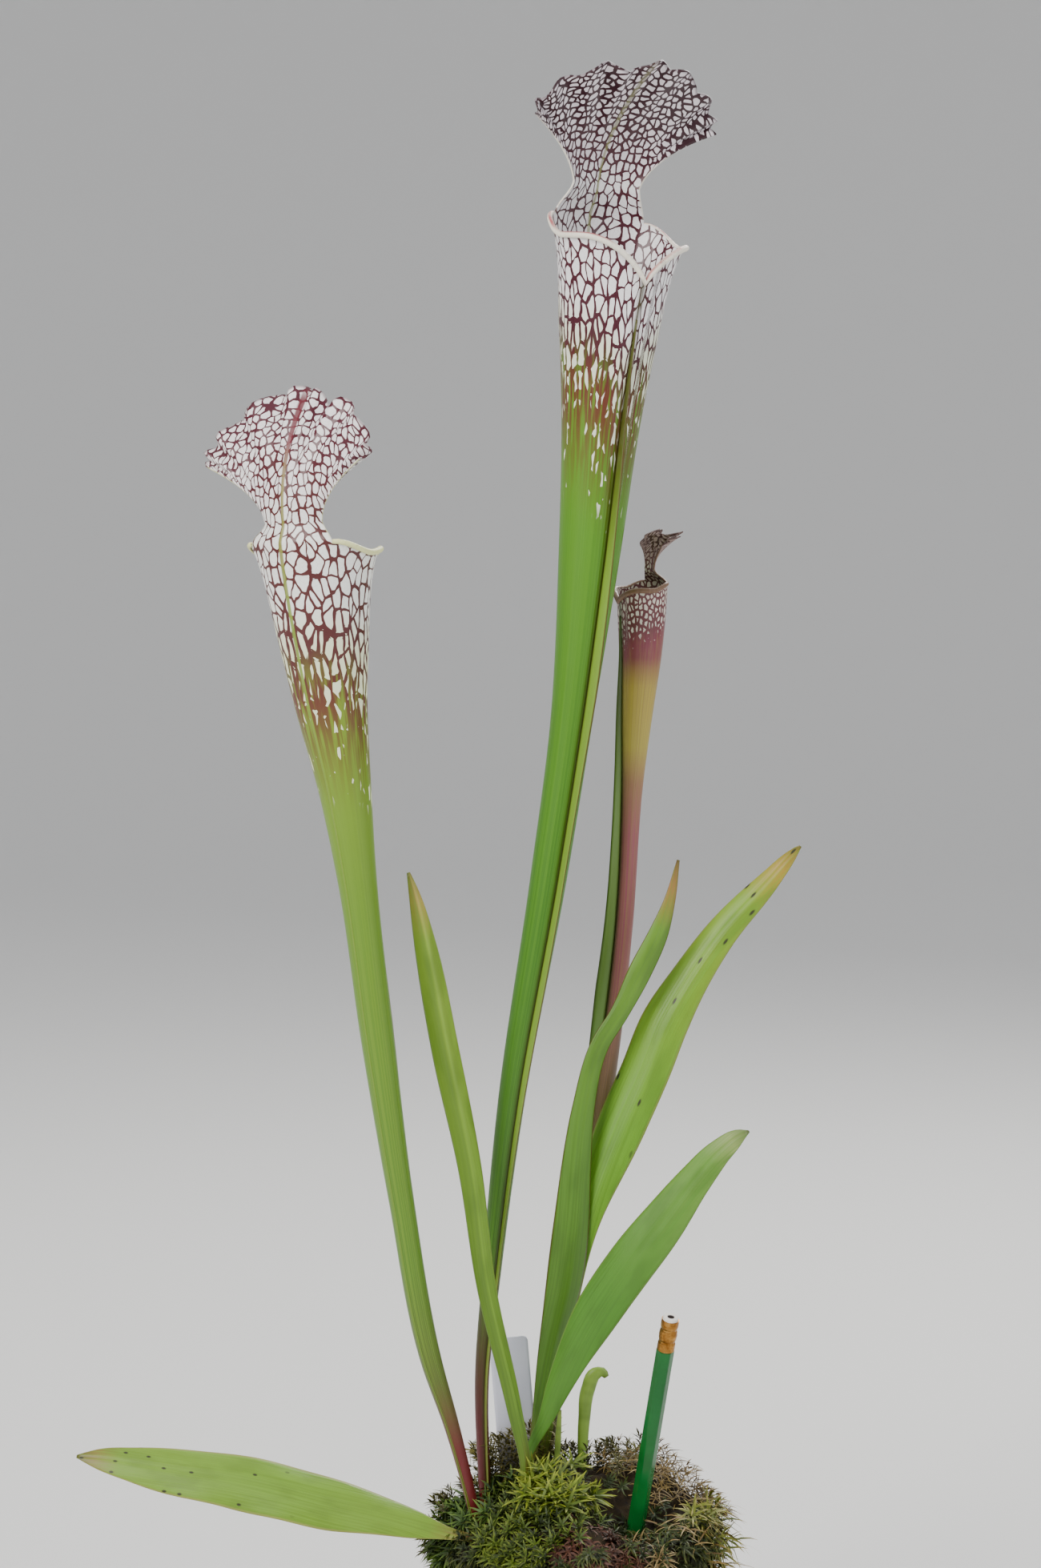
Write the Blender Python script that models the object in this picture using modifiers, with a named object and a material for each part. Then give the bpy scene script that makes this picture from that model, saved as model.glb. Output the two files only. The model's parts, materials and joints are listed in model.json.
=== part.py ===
"""White-topped pitcher plant in a moss-topped pot.

Metres, +Z up. The origin is the centre of the pot's flat base, and the plant's best side faces -Y.
Lengths below are in millimetres, and MM turns them into metres where a mesh is made.

A leaf is a list of stations (x, y, z, half width) from its foot on the rhizome to its tip.
A pitcher is a tube with stations (x, y, z, radius), a slanting lip, and a hood on a narrow column.
"""
import math

import bmesh
import bpy
import numpy as np

MM = 0.001
GAP = 0.3                      # clearance between touching pieces
FOOT_CLEARANCE = 0.8           # how much deeper a socket is than the foot that stands in it

# --- pot and filling -------------------------------------------------------------------------
POT_HEIGHT = 84.0
POT_BASE_RADIUS = 38.0
POT_NECK_RADIUS = 49.0         # where the wall meets the rim band
POT_BAND_RADIUS = 51.5
POT_BAND_HEIGHT = 14.0
POT_WALL = 1.5
DRAIN_HOLES = 6
DRAIN_RADIUS = 4.0
DRAIN_CIRCLE = 27.0
MIX_TOP = 78.5
TURN_STEPS = 40

# --- moss cushion ----------------------------------------------------------------------------
MOSS_BOTTOM = MIX_TOP + GAP
MOSS_CROWN = 124.0             # height of the middle of the cushion
MOSS_SHOULDER = 56.5           # widest radius, above the rim
MOSS_HUMPS = [                 # (x, y, extra height, spread)
    (34.0, 26.0, 15.0, 17.0),
    (-9.0, -4.0, 6.0, 14.0),
    (-46.0, 2.0, -6.0, 14.0),
    (23.0, -22.0, -18.0, 18.0),
]

# --- rhizome ---------------------------------------------------------------------------------
RHIZOME_CENTRE = (-24.0, 0.0, 88.2)
RHIZOME_HALF = (27.0, 35.0, 9.0)

# --- pitchers --------------------------------------------------------------------------------
PITCHER_WALL = 0.9
WING_THICKNESS = 1.2
TUBE_ROWS = 18
COLUMN_HALF_ANGLE = math.radians(55.0)     # how much of the ring rises into the column

TALL_PITCHER = {
    "stations": [
        (-37, 3, 92, 2.6), (-38.7, 4, 121, 2.6), (-39.7, 4.5, 165, 3.0), (-36, 5, 206, 3.9),
        (-27.5, 6, 281, 5.6), (-12, 7, 375, 7.6), (-2.3, 8, 442, 8.8), (4.7, 8.5, 508, 12.6),
        (10.4, 9, 574, 17.2), (13.2, 9.6, 607, 21.2)],
    "facing": (math.sin(math.radians(30)), -math.cos(math.radians(30))),
    "wing": [(0.0, 0.5), (0.2, 2.5), (0.45, 5.0), (0.7, 7.5), (0.88, 6.0), (1.0, 0.6)],
    "lip_drop": 15.0, "mouth_radius": 23.6, "lip_rise": 17.0, "lip_back": 10.0, "flare": 4.5,
    "neck_height": 60.0, "neck_half": 15.0, "neck_back": 19.0,
    "hood_half": 43.0, "hood_apex": 43.0, "hood_lobe": 23.0, "reach_apex": 36.0, "reach_lobe": 17.0,
}
LEFT_PITCHER = {
    "stations": [
        (-39, -12, 93, 2.4), (-43.5, -16, 116, 2.4), (-52, -18.5, 150, 3.2), (-60.4, -20.4, 178, 4.4),
        (-72.4, -25.3, 246, 5.2), (-81.7, -30.3, 313, 6.8), (-89.7, -35.2, 380, 8.0),
        (-94.5, -38.2, 418, 10.8), (-100, -40.8, 455, 15.1), (-102.8, -42.7, 482, 18.8)],
    "facing": (math.sin(math.radians(34)), math.cos(math.radians(34))),
    "wing": [(0.0, 0.5), (0.2, 2.0), (0.5, 4.0), (0.75, 5.0), (0.9, 4.0), (1.0, 0.6)],
    "lip_drop": 15.0, "mouth_radius": 21.4, "lip_rise": 15.0, "lip_back": 7.0, "flare": 4.5,
    "neck_height": 45.0, "neck_half": 14.5, "neck_back": 18.0,
    "hood_half": 41.0, "hood_apex": 52.0, "hood_lobe": 26.0, "reach_apex": 24.0, "reach_lobe": 6.0,
}
OLD_PITCHER = {
    "stations": [
        (-20, 22, 91, 2.2), (-10.5, 26, 136, 2.2), (-2, 31, 202, 3.4), (7.4, 34, 250, 4.2),
        (14, 36, 296, 4.2), (20.3, 37, 352, 3.9), (23.7, 38, 415, 5.0), (25.3, 38, 442, 7.0),
        (27.2, 38, 470, 9.2), (27.6, 38, 484, 10.2)],
    "facing": (math.sin(math.radians(-62)), -math.cos(math.radians(-62))),
    "wing": [(0.0, 0.5), (0.3, 4.0), (0.6, 6.5), (0.75, 5.0), (0.9, 2.5), (1.0, 0.6)],
    "lip_drop": 6.0, "mouth_radius": 10.6, "lip_rise": 5.0, "lip_back": 3.0, "flare": 1.0,
    "neck_height": 20.0, "neck_half": 4.0, "neck_back": 5.0,
    "hood_half": 9.0, "hood_apex": 15.0, "hood_lobe": 12.0, "reach_apex": -6.0, "reach_lobe": -3.0,
}

# --- flat leaves -----------------------------------------------------------------------------
LEAF_THICKNESS = 1.2
LEAF_GROUND = [
    (-37, -22, 89, 2.0), (-42.7, -28, 104.5, 1.6), (-54, -26.4, 107, 2.8), (-68, -24.8, 110.5, 6.2),
    (-85, -23.2, 114.5, 9.2), (-106, -21.6, 119, 11.6), (-125, -20, 123.5, 12.2),
    (-145, -18.4, 127.5, 11.8), (-167, -16.8, 130.5, 10.3), (-185, -15.2, 133.2, 7.7),
    (-199, -13.6, 135, 4.6), (-208.5, -12, 135.5, 0.6)]
LEAF_THIN = [
    (-27, -12, 92, 2.0), (-21.2, -14, 130, 2.0), (-26, -15, 157, 2.9), (-37.3, -17.3, 208, 3.8),
    (-44, -19.5, 258, 4.7), (-54, -21.6, 308, 5.5), (-62.2, -23.8, 352, 4.3), (-66.5, -25, 372, 2.2),
    (-69.2, -26, 382, 0.5)]
LEAF_MID = [
    (-25, 6, 92, 2.0), (-17, 5, 141, 2.2), (-11.2, 7, 176, 4.8), (-4.9, 8.3, 205, 7.6),
    (-2, 9.7, 228, 7.7), (0.1, 11, 254, 6.3), (3, 12.2, 278, 4.7), (10, 14, 305, 4.0),
    (18, 14.6, 318, 3.9), (27, 15.6, 336, 4.9), (34.6, 16.3, 352, 4.1), (38.9, 17, 365, 2.4),
    (42.6, 18, 382.5, 0.5)]
LEAF_BIG = [
    (-22, 14, 92, 2.0), (-12.3, 14, 140, 2.2), (-5, 15, 185, 3.6), (3.9, 16, 230, 6.4),
    (19, 20, 270, 10.5), (28.7, 22, 292, 10.6), (37.2, 24, 313, 10.2), (47.7, 26, 331, 8.4),
    (60.9, 28, 350, 6.9), (82.3, 32, 373, 4.3), (91.4, 34, 383, 2.1), (95, 35.5, 386.5, 0.5)]
LEAF_LOW_RIGHT = [
    (-26, -3, 92, 1.8), (-19.1, -4, 137, 1.9), (-13.5, -6.2, 149, 3.0), (-7.3, -8.4, 165, 5.4),
    (-1.2, -10.5, 179, 7.4), (6.6, -12.7, 194, 9.3), (21.9, -17.1, 218, 10.2),
    (36, -19.5, 237, 9.2), (48.2, -21.5, 254, 7.0), (58, -23.6, 266, 5.2), (66, -25.8, 273, 3.0),
    (70, -28, 275.5, 0.5)]

# --- young shoots (x, y, z, radius) ----------------------------------------------------------
SHOOT_HOOKED = [
    (-5, 10, 91, 1.5), (2.0, 11.5, 122, 1.7), (3.4, 12, 145, 2.2), (5.0, 12, 158, 2.6),
    (8.4, 12, 165, 2.4), (11.4, 12, 165.4, 1.8), (12.8, 12, 163.5, 1.0)]
SHOOT_THIN = [(-12, 4, 93, 0.9), (-8.4, 5, 125, 1.0), (-7.6, 5, 140, 1.1), (-6.9, 5, 151, 0.6)]

# --- tag and pencil --------------------------------------------------------------------------
TAG_WIDTH = 16.5
TAG_THICKNESS = 0.8
TAG_TOP = (-28.8, 29.5, 176.4)
TAG_FOOT = (-22.5, 28.5, 100.0)
PENCIL_TOP = (37.7, -46.0, 202.5)
PENCIL_FOOT = (21.7, -10.2, 86.5)
PENCIL_FLAT = 3.35             # half the distance across the flats
LEAD_RADIUS = 1.0
FERRULE_RADIUS = 3.75
FERRULE_LENGTH = 14.0
FERRULE_WALL = 0.35
ERASER_PROUD = 1.2             # how far the eraser stands out of the ferrule


def clear_objects():
    for item in list(bpy.data.objects):
        bpy.data.objects.remove(item, do_unlink=True)


def new_collection(name):
    group = bpy.data.collections.new(name)
    bpy.context.scene.collection.children.link(group)
    return group


clear_objects()
PLANT = new_collection("potted_pitcher_plant")
CUTTERS = new_collection("cutters")


# --- mesh helpers ----------------------------------------------------------------------------
def make_material(name, colour, roughness, metallic=0.0):
    material = bpy.data.materials.new(name)
    material.use_nodes = True
    shader = material.node_tree.nodes["Principled BSDF"]
    shader.inputs["Base Color"].default_value = (*colour, 1.0)
    shader.inputs["Roughness"].default_value = roughness
    shader.inputs["Metallic"].default_value = metallic
    return material


def make_object(name, mesh, group):
    item = bpy.data.objects.new(name, mesh)
    group.objects.link(item)
    if group is CUTTERS:
        item.hide_render = True
        item.display_type = "WIRE"
    return item


def move_to(group, item, name):
    """Name an object that an operator made, and put it in one collection alone."""
    item.name = name
    for old_group in list(item.users_collection):
        old_group.objects.unlink(item)
    group.objects.link(item)
    if group is CUTTERS:
        item.hide_render = True
        item.display_type = "WIRE"
    return item


def finish(item, colour, roughness, metallic=0.0):
    item.data.materials.clear()
    item.data.materials.append(make_material(item.name, colour, roughness, metallic))
    item.data.shade_smooth()
    item.data.set_sharp_from_angle(angle=math.radians(40))


def mesh_from(name, points, faces):
    """A mesh from points in millimetres."""
    mesh = bpy.data.meshes.new(name)
    scaled = [(x * MM, y * MM, z * MM) for x, y, z in points]
    mesh.from_pydata(scaled, [], faces)
    mesh.validate()
    return mesh


def apply_modifiers(item):
    """Bake an object's modifiers into its mesh."""
    graph = bpy.context.evaluated_depsgraph_get()
    baked = bpy.data.meshes.new_from_object(item.evaluated_get(graph))
    item.modifiers.clear()
    item.data = baked


def face_outwards(item):
    """Weld coincident points and turn every face outwards."""
    work = bmesh.new()
    work.from_mesh(item.data)
    bmesh.ops.remove_doubles(work, verts=work.verts, dist=0.00001)
    bmesh.ops.recalc_face_normals(work, faces=work.faces)
    work.to_mesh(item.data)
    work.free()


def thicken(item, thickness, offset):
    shell = item.modifiers.new("thickness", "SOLIDIFY")
    shell.thickness = thickness * MM
    shell.offset = offset
    shell.use_even_offset = True
    apply_modifiers(item)
    face_outwards(item)


def cut(item, cutters, operation="DIFFERENCE", solver="EXACT"):
    for cutter in cutters:
        knife = item.modifiers.new(cutter.name, "BOOLEAN")
        knife.operation = operation
        knife.object = cutter
        knife.solver = solver
    apply_modifiers(item)


def turned(name, profile, group=PLANT, steps=TURN_STEPS):
    """A solid of revolution: the profile is (radius, z) from the top of the outside downwards."""
    mesh = bpy.data.meshes.new(name)
    points = [(radius * MM, 0.0, z * MM) for radius, z in profile]
    mesh.from_pydata(points, [(i, i + 1) for i in range(len(points) - 1)], [])
    item = make_object(name, mesh, group)
    screw = item.modifiers.new("turn", "SCREW")
    screw.steps = steps
    screw.render_steps = steps
    screw.use_merge_vertices = True
    screw.merge_threshold = 0.00005
    screw.use_normal_calculate = True
    apply_modifiers(item)
    face_outwards(item)
    return item


# --- curves through stations -----------------------------------------------------------------
def smooth_through(stations, count):
    """Points on a smooth curve through the stations, evenly spread along its length."""
    knots = np.array(stations, dtype=float)
    steps = np.linalg.norm(np.diff(knots[:, :3], axis=0), axis=1)
    at = np.concatenate([[0.0], np.cumsum(steps)])
    slopes = np.gradient(knots, at, axis=0)
    wanted = np.linspace(0.0, at[-1], count)
    cell = np.clip(np.searchsorted(at, wanted, side="right") - 1, 0, len(at) - 2)
    span = (at[cell + 1] - at[cell])[:, None]
    t = ((wanted - at[cell]) / (at[cell + 1] - at[cell]))[:, None]
    start = (2 * t**3 - 3 * t**2 + 1) * knots[cell] + (t**3 - 2 * t**2 + t) * span * slopes[cell]
    end = (3 * t**2 - 2 * t**3) * knots[cell + 1] + (t**3 - t**2) * span * slopes[cell + 1]
    return start + end


def unit(vector):
    return vector / np.linalg.norm(vector)


def step_up(edge0, edge1, value):
    """0 below edge0, 1 above edge1, and smooth between them."""
    t = min(max((value - edge0) / (edge1 - edge0), 0.0), 1.0)
    return t * t * (3.0 - 2.0 * t)


def directions(curve):
    """The unit tangent at each point of a curve."""
    return [unit(v) for v in np.gradient(curve[:, :3], axis=0)]


def foot_of(curve, rows):
    """The first rows of a curve, drawn out a little past the foot's end."""
    foot = np.array(curve[:rows])
    foot[0, :3] -= FOOT_CLEARANCE * unit(foot[1, :3] - foot[0, :3])
    return foot


# --- flat leaves -----------------------------------------------------------------------------
def leaf_sheet(name, curve, tangents, facing, cup, group=PLANT, across=4, grow=0.0):
    """A blade with its face towards `facing`, hollowed by `cup` times its half width."""
    points = []
    for (x, y, z, half), along in zip(curve, tangents):
        side = unit(np.cross(along, facing))
        face = np.cross(side, along)
        half = max(half, 0.4)
        for i in range(across + 1):
            s = (2.0 * i / across - 1.0) * (half + grow) / half
            bend = cup * half * (s * s - 0.5)
            points.append(np.array((x, y, z)) + side * half * s - face * bend)
    width = across + 1
    faces = [
        (r * width + i, r * width + i + 1, (r + 1) * width + i + 1, (r + 1) * width + i)
        for r in range(len(curve) - 1) for i in range(across)]
    return make_object(name, mesh_from(name, points, faces), group)


def leaf(name, stations, facing, cup, colour):
    """A leaf. Returns the slightly larger cutter that makes room for its foot."""
    facing = unit(np.array(facing, dtype=float))
    curve = smooth_through(stations, 20)
    tangents = directions(curve)
    blade = leaf_sheet(name, curve, tangents, facing, cup)
    thicken(blade, LEAF_THICKNESS, 0.0)
    finish(blade, colour, 0.5)
    room = leaf_sheet(f"cut_{name}", foot_of(curve, 7), tangents, facing, cup, CUTTERS, grow=3 * GAP)
    thicken(room, LEAF_THICKNESS + 4.0 * GAP, 0.0)
    return room


# --- round shoots and pencil parts -----------------------------------------------------------
def ring_loft(name, curve, sides, grow=0.0, group=PLANT, turn=0.0):
    """A closed round or many-sided rod through the rows (x, y, z, radius)."""
    points = []
    reference = np.array((0.0, 1.0, 0.0))
    for (x, y, z, radius), along in zip(curve, directions(curve)):
        right = unit(np.cross(reference, along))
        front = np.cross(along, right)
        for i in range(sides):
            angle = turn + 2.0 * math.pi * i / sides
            spoke = right * math.cos(angle) + front * math.sin(angle)
            points.append(np.array((x, y, z)) + spoke * (radius + grow))
    faces = []
    for r in range(len(curve) - 1):
        for i in range(sides):
            j = (i + 1) % sides
            faces.append((r * sides + i, r * sides + j, (r + 1) * sides + j, (r + 1) * sides + i))
    last = (len(curve) - 1) * sides
    faces.append(tuple(range(sides - 1, -1, -1)))
    faces.append(tuple(range(last, last + sides)))
    item = make_object(name, mesh_from(name, points, faces), group)
    face_outwards(item)
    return item


def shoot(name, stations, colour):
    """A round young shoot. Returns the cutter for its foot."""
    curve = smooth_through(stations, 14)
    stem = ring_loft(name, curve, 8)
    finish(stem, colour, 0.5)
    room = ring_loft(f"cut_{name}", foot_of(curve, 10), 8, grow=1.5 * GAP, group=CUTTERS)
    return room


# --- pitchers --------------------------------------------------------------------------------
def hood_point(shape, u, rise):
    """Where hood column u (-1 to 1) lies at `rise` (0 at the neck, 1 at the margin).

    Returned as (side, height, forward) from the middle of the neck.
    """
    swing = u * math.radians(86)
    start = np.array((shape["neck_half"] * math.sin(u * 0.9) / math.sin(0.9), 0.0,
                      shape["neck_half"] * 0.45 * u * u))
    crown = math.cos(swing) ** 1.8
    lobe = shape["hood_lobe"]
    end = np.array((
        shape["hood_half"] * math.sin(swing),
        lobe + (shape["hood_apex"] - lobe) * crown,
        shape["reach_lobe"] + (shape["reach_apex"] - shape["reach_lobe"]) * crown))
    bend = start + np.array((0.0, 0.5 * end[1], 0.05 * end[2]))
    return start * (1 - rise) ** 2 + bend * 2 * rise * (1 - rise) + end * rise**2


def lip_height(shape, angle):
    """Height of the lip above its lowest point, at an angle from the front."""
    front = math.sin(min(angle / math.radians(60), 1.0) * math.pi / 2) ** 0.8
    return shape["lip_rise"] * front + shape["lip_back"] * step_up(1.4, 2.2, angle)


def lip_flare(shape, angle):
    """How far the lip turns outwards, at an angle from the front."""
    return shape["flare"] * (0.25 + 0.75 * step_up(0.1, 1.0, angle)) * (1 - step_up(1.9, 2.6, angle))


def pitcher_sheet(name, shape, curve, mouth_rows=4, neck_rows=2, hood_rows=4, arc=10, rest=12):
    """The outer skin of tube, lip, column and hood, as one sheet with a closed foot."""
    tangents = directions(curve)
    facing = np.array((*shape["facing"], 0.0))
    angles = [COLUMN_HALF_ANGLE * (2.0 * i / arc - 1.0) for i in range(arc + 1)]
    step = (2.0 * math.pi - 2.0 * COLUMN_HALF_ANGLE) / rest
    angles += [COLUMN_HALF_ANGLE + step * i for i in range(1, rest)]
    rows = []
    for (x, y, z, radius), along in zip(curve, tangents):
        front = unit(facing - along * np.dot(facing, along))
        side = np.cross(along, front)
        rows.append([
            np.array((x, y, z)) + radius * (math.sin(a) * side - math.cos(a) * front) for a in angles])
    top, axis, radius = curve[-1, :3], tangents[-1], curve[-1, 3]
    front = unit(facing - axis * np.dot(facing, axis))
    side = np.cross(axis, front)
    spokes = [math.sin(a) * side - math.cos(a) * front for a in angles]
    from_front = [math.pi - min(abs(a), abs(2 * math.pi - a)) for a in angles]
    corner = math.pi - COLUMN_HALF_ANGLE
    for r in range(1, mouth_rows + 1):
        q = r / mouth_rows
        row = []
        for spoke, angle in zip(spokes, from_front):
            height = q * (shape["lip_drop"] + lip_height(shape, min(angle, corner)))
            reach = radius + (shape["mouth_radius"] - radius) * math.sin(q * math.pi / 2)
            reach += lip_flare(shape, angle) * q**3
            row.append(top + axis * height + spoke * reach)
        rows.append(row)
    base = shape["lip_drop"] + lip_height(shape, corner)
    neck = top + axis * shape["neck_height"] - front * shape["neck_back"]
    for r in range(1, neck_rows + hood_rows + 1):
        row = []
        for i in range(arc + 1):
            u = 2.0 * i / arc - 1.0
            if r <= neck_rows:
                t = r / neck_rows
                local = hood_point(shape, u, 0.0)
                climb = shape["neck_height"] - base
                low = rows[len(curve) + mouth_rows - 1][i] + axis * climb * t
                high = neck + side * local[0] + front * local[2] - axis * climb * (1 - t)
                blend = step_up(0.0, 1.0, t)
                row.append(low * (1 - blend) + high * blend)
            else:
                local = hood_point(shape, u, (r - neck_rows) / hood_rows)
                row.append(neck + side * local[0] + axis * local[1] + front * local[2])
        rows.append(row)
    points = [p for row in rows for p in row]
    starts = np.concatenate([[0], np.cumsum([len(row) for row in rows])])
    faces = []
    for r in range(len(rows) - 1):
        closed = len(rows[r + 1]) == len(angles)
        count = len(angles) if closed else arc
        for i in range(count):
            j = (i + 1) % len(angles)
            low, high = int(starts[r]), int(starts[r + 1])
            faces.append((low + i, high + i, high + j, low + j))
    faces.append(tuple(range(len(angles))))
    return make_object(name, mesh_from(name, points, faces), PLANT)


def wing_sheet(name, shape, curve, count, grow=0.0):
    """The thin wing down the front of the tube, rooted inside the tube's wall.

    `count` is the number of rows in the whole tube, of which `curve` may be the first few.
    """
    facing = np.array((*shape["facing"], 0.0))
    at, width = np.array(shape["wing"]).T
    points = []
    for r, ((x, y, z, radius), along) in enumerate(zip(curve, directions(curve))):
        front = unit(facing - along * np.dot(facing, along))
        reach = float(np.interp(r / (count - 1), at, width))
        foot = np.array((x, y, z))
        points.append(foot + front * (radius - 0.5 * PITCHER_WALL))
        points.append(foot + front * (radius + reach + grow))
    faces = [(2 * r, 2 * r + 1, 2 * r + 3, 2 * r + 2) for r in range(len(curve) - 1)]
    return make_object(name, mesh_from(name, points, faces), CUTTERS)


def pitcher(name, shape, colour):
    """A hollow pitcher with its wing. Returns the cutters that make room for its foot."""
    curve = smooth_through(shape["stations"], TUBE_ROWS)
    shell = pitcher_sheet(name, shape, curve)
    thicken(shell, PITCHER_WALL, -1.0)
    wing = wing_sheet(f"wing_{name}", shape, curve, TUBE_ROWS)
    thicken(wing, WING_THICKNESS, 0.0)
    cut(shell, [wing], "UNION")
    finish(shell, colour, 0.45)
    foot = foot_of(curve, 6)
    room = ring_loft(f"cut_{name}", foot, 20, grow=2.5 * GAP, group=CUTTERS)
    wing_room = wing_sheet(f"wing_cut_{name}", shape, foot, TUBE_ROWS, grow=2 * GAP)
    thicken(wing_room, WING_THICKNESS + 3.0 * GAP, 0.0)
    return [room, wing_room]


# --- pot, potting mix, moss and rhizome -------------------------------------------------------
def build_pot():
    band = POT_HEIGHT - POT_BAND_HEIGHT
    profile = [
        (POT_BAND_RADIUS - POT_WALL, POT_HEIGHT),
        (POT_BAND_RADIUS + 0.8, POT_HEIGHT),
        (POT_BAND_RADIUS + 0.8, POT_HEIGHT - 2.0),
        (POT_BAND_RADIUS, POT_HEIGHT - 2.4),
        (POT_BAND_RADIUS, band),
        (POT_NECK_RADIUS, band - 1.0),
        (POT_BASE_RADIUS + 1.0, 1.5),
        (POT_BASE_RADIUS - 0.5, 0.0),
        (0.0, 0.0),
        (0.0, POT_WALL),
        (POT_BASE_RADIUS - POT_WALL, POT_WALL),
        (POT_NECK_RADIUS - POT_WALL, band - 1.0),
        (POT_BAND_RADIUS - POT_WALL, band + 0.5),
        (POT_BAND_RADIUS - POT_WALL, POT_HEIGHT),
    ]
    pot = turned("pot", profile)
    drills = []
    for i in range(DRAIN_HOLES):
        angle = 2.0 * math.pi * (i + 0.5) / DRAIN_HOLES
        x, y = DRAIN_CIRCLE * math.cos(angle), DRAIN_CIRCLE * math.sin(angle)
        bpy.ops.mesh.primitive_cylinder_add(
            vertices=16, radius=DRAIN_RADIUS * MM, depth=3.0 * POT_WALL * MM,
            location=(x * MM, y * MM, POT_WALL * MM / 2))
        drills.append(move_to(CUTTERS, bpy.context.object, f"drain_{i}"))
    cut(pot, drills)
    finish(pot, (0.012, 0.012, 0.013), 0.45)


def build_potting_mix():
    band = POT_HEIGHT - POT_BAND_HEIGHT
    inner = POT_WALL + GAP
    profile = [
        (0.0, MIX_TOP),
        (POT_BAND_RADIUS - inner - 1.5, MIX_TOP),
        (POT_BAND_RADIUS - inner, MIX_TOP - 1.5),
        (POT_BAND_RADIUS - inner, band + 0.5 + GAP),
        (POT_NECK_RADIUS - inner, band - 1.0),
        (POT_BASE_RADIUS - inner, inner),
        (0.0, inner),
    ]
    mix = turned("potting_mix", profile)
    finish(mix, (0.03, 0.018, 0.01), 0.95)


def moss_height(x, y):
    """Height of the cushion's top surface above a point, before its edge rolls over."""
    height = MOSS_CROWN - 14.0 * (math.hypot(x, y) / MOSS_SHOULDER) ** 2
    for hump_x, hump_y, extra, spread in MOSS_HUMPS:
        near = math.hypot(x - hump_x, y - hump_y) / spread
        height += extra * math.exp(-near * near)
    return height


def build_moss(rooms, rhizome_room):
    """A cushion that fills the top of the pot and bulges over its rim."""
    inside = POT_BAND_RADIUS - POT_WALL - GAP
    side = [                   # (radius, z) from the underside up to the shoulder
        (inside, MOSS_BOTTOM), (inside, POT_HEIGHT + GAP), (inside + 4.5, POT_HEIGHT + 5.0),
        (MOSS_SHOULDER, POT_HEIGHT + 15.0)]
    rings = 7
    around = 36
    ring_count = len(side) + rings - 1
    points = [(0.0, 0.0, MOSS_BOTTOM)]
    for index in range(ring_count):
        for i in range(around):
            angle = 2.0 * math.pi * i / around
            lobes = 1.0 + 0.025 * math.sin(3 * angle + 1.0) + 0.02 * math.sin(7 * angle)
            if index < len(side):
                radius, z = side[index]
                bulge = lobes if index > 1 else 1.0
                points.append((radius * bulge * math.cos(angle), radius * bulge * math.sin(angle), z))
            else:
                t = (index - len(side) + 1) / rings
                radius = MOSS_SHOULDER * lobes * math.cos(t * math.pi / 2) ** 0.7
                x, y = radius * math.cos(angle), radius * math.sin(angle)
                shoulder = side[-1][1]
                climb = math.sin(t * math.pi / 2) ** 0.8
                points.append((x, y, shoulder + (moss_height(x, y) - shoulder) * climb))
    points.append((0.0, 0.0, moss_height(0.0, 0.0)))
    faces = [(0, 1 + (i + 1) % around, 1 + i) for i in range(around)]
    for r in range(ring_count - 1):
        for i in range(around):
            j = (i + 1) % around
            low, high = 1 + r * around, 1 + (r + 1) * around
            faces.append((low + i, low + j, high + j, high + i))
    last = 1 + (ring_count - 1) * around
    faces += [(last + i, last + (i + 1) % around, len(points) - 1) for i in range(around)]
    moss = make_object("moss_mound", mesh_from("moss_mound", points, faces), PLANT)
    face_outwards(moss)
    cut(moss, [rhizome_room] + rooms, solver="MANIFOLD")
    finish(moss, (0.05, 0.06, 0.012), 0.9)


def rhizome_blob(name, group, grow, open_below):
    """The knobbly rootstock, or the room for it with its lower half drawn down."""
    bpy.ops.mesh.primitive_uv_sphere_add(segments=20, ring_count=10, radius=1.0)
    item = move_to(group, bpy.context.object, name)
    for vertex in item.data.vertices:
        x, y, z = vertex.co
        knob = 1.0 + 0.06 * math.sin(5.0 * x + 2.0) * math.cos(4.0 * y)
        drop = 2.5 if open_below and z < -0.01 else 1.0
        vertex.co = (
            (RHIZOME_CENTRE[0] + x * (RHIZOME_HALF[0] * knob + grow)) * MM,
            (RHIZOME_CENTRE[1] + y * (RHIZOME_HALF[1] * knob + grow)) * MM,
            (RHIZOME_CENTRE[2] + z * drop * (RHIZOME_HALF[2] + grow)) * MM)
    return item


def build_rhizome(rooms):
    rhizome = rhizome_blob("rhizome", PLANT, -GAP, False)
    cut(rhizome, rooms, solver="MANIFOLD")
    finish(rhizome, (0.09, 0.05, 0.025), 0.85)
    return rhizome_blob("cut_rhizome", CUTTERS, 0.1, True)


# --- tag and pencil --------------------------------------------------------------------------
def flat_tag(name, group, grow):
    """A thin strip from its foot to its top, with a pointed foot."""
    foot, top = np.array(TAG_FOOT), np.array(TAG_TOP)
    along = unit(top - foot)
    side = unit(np.cross(np.array((0.0, 1.0, 0.0)), along))
    face = np.cross(along, side)
    half = TAG_WIDTH / 2 + grow
    deep = TAG_THICKNESS / 2 + grow
    length = float(np.linalg.norm(top - foot))
    outline = [(0.0, -grow), (half, 9.0), (half, length + grow), (-half, length + grow), (-half, 9.0)]
    points = [foot + side * s + along * h + face * d for d in (-deep, deep) for s, h in outline]
    count = len(outline)
    faces = [tuple(range(count)), tuple(range(2 * count - 1, count - 1, -1))]
    faces += [(i, (i + 1) % count, count + (i + 1) % count, count + i) for i in range(count)]
    item = make_object(name, mesh_from(name, points, faces), group)
    face_outwards(item)
    return item


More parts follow.
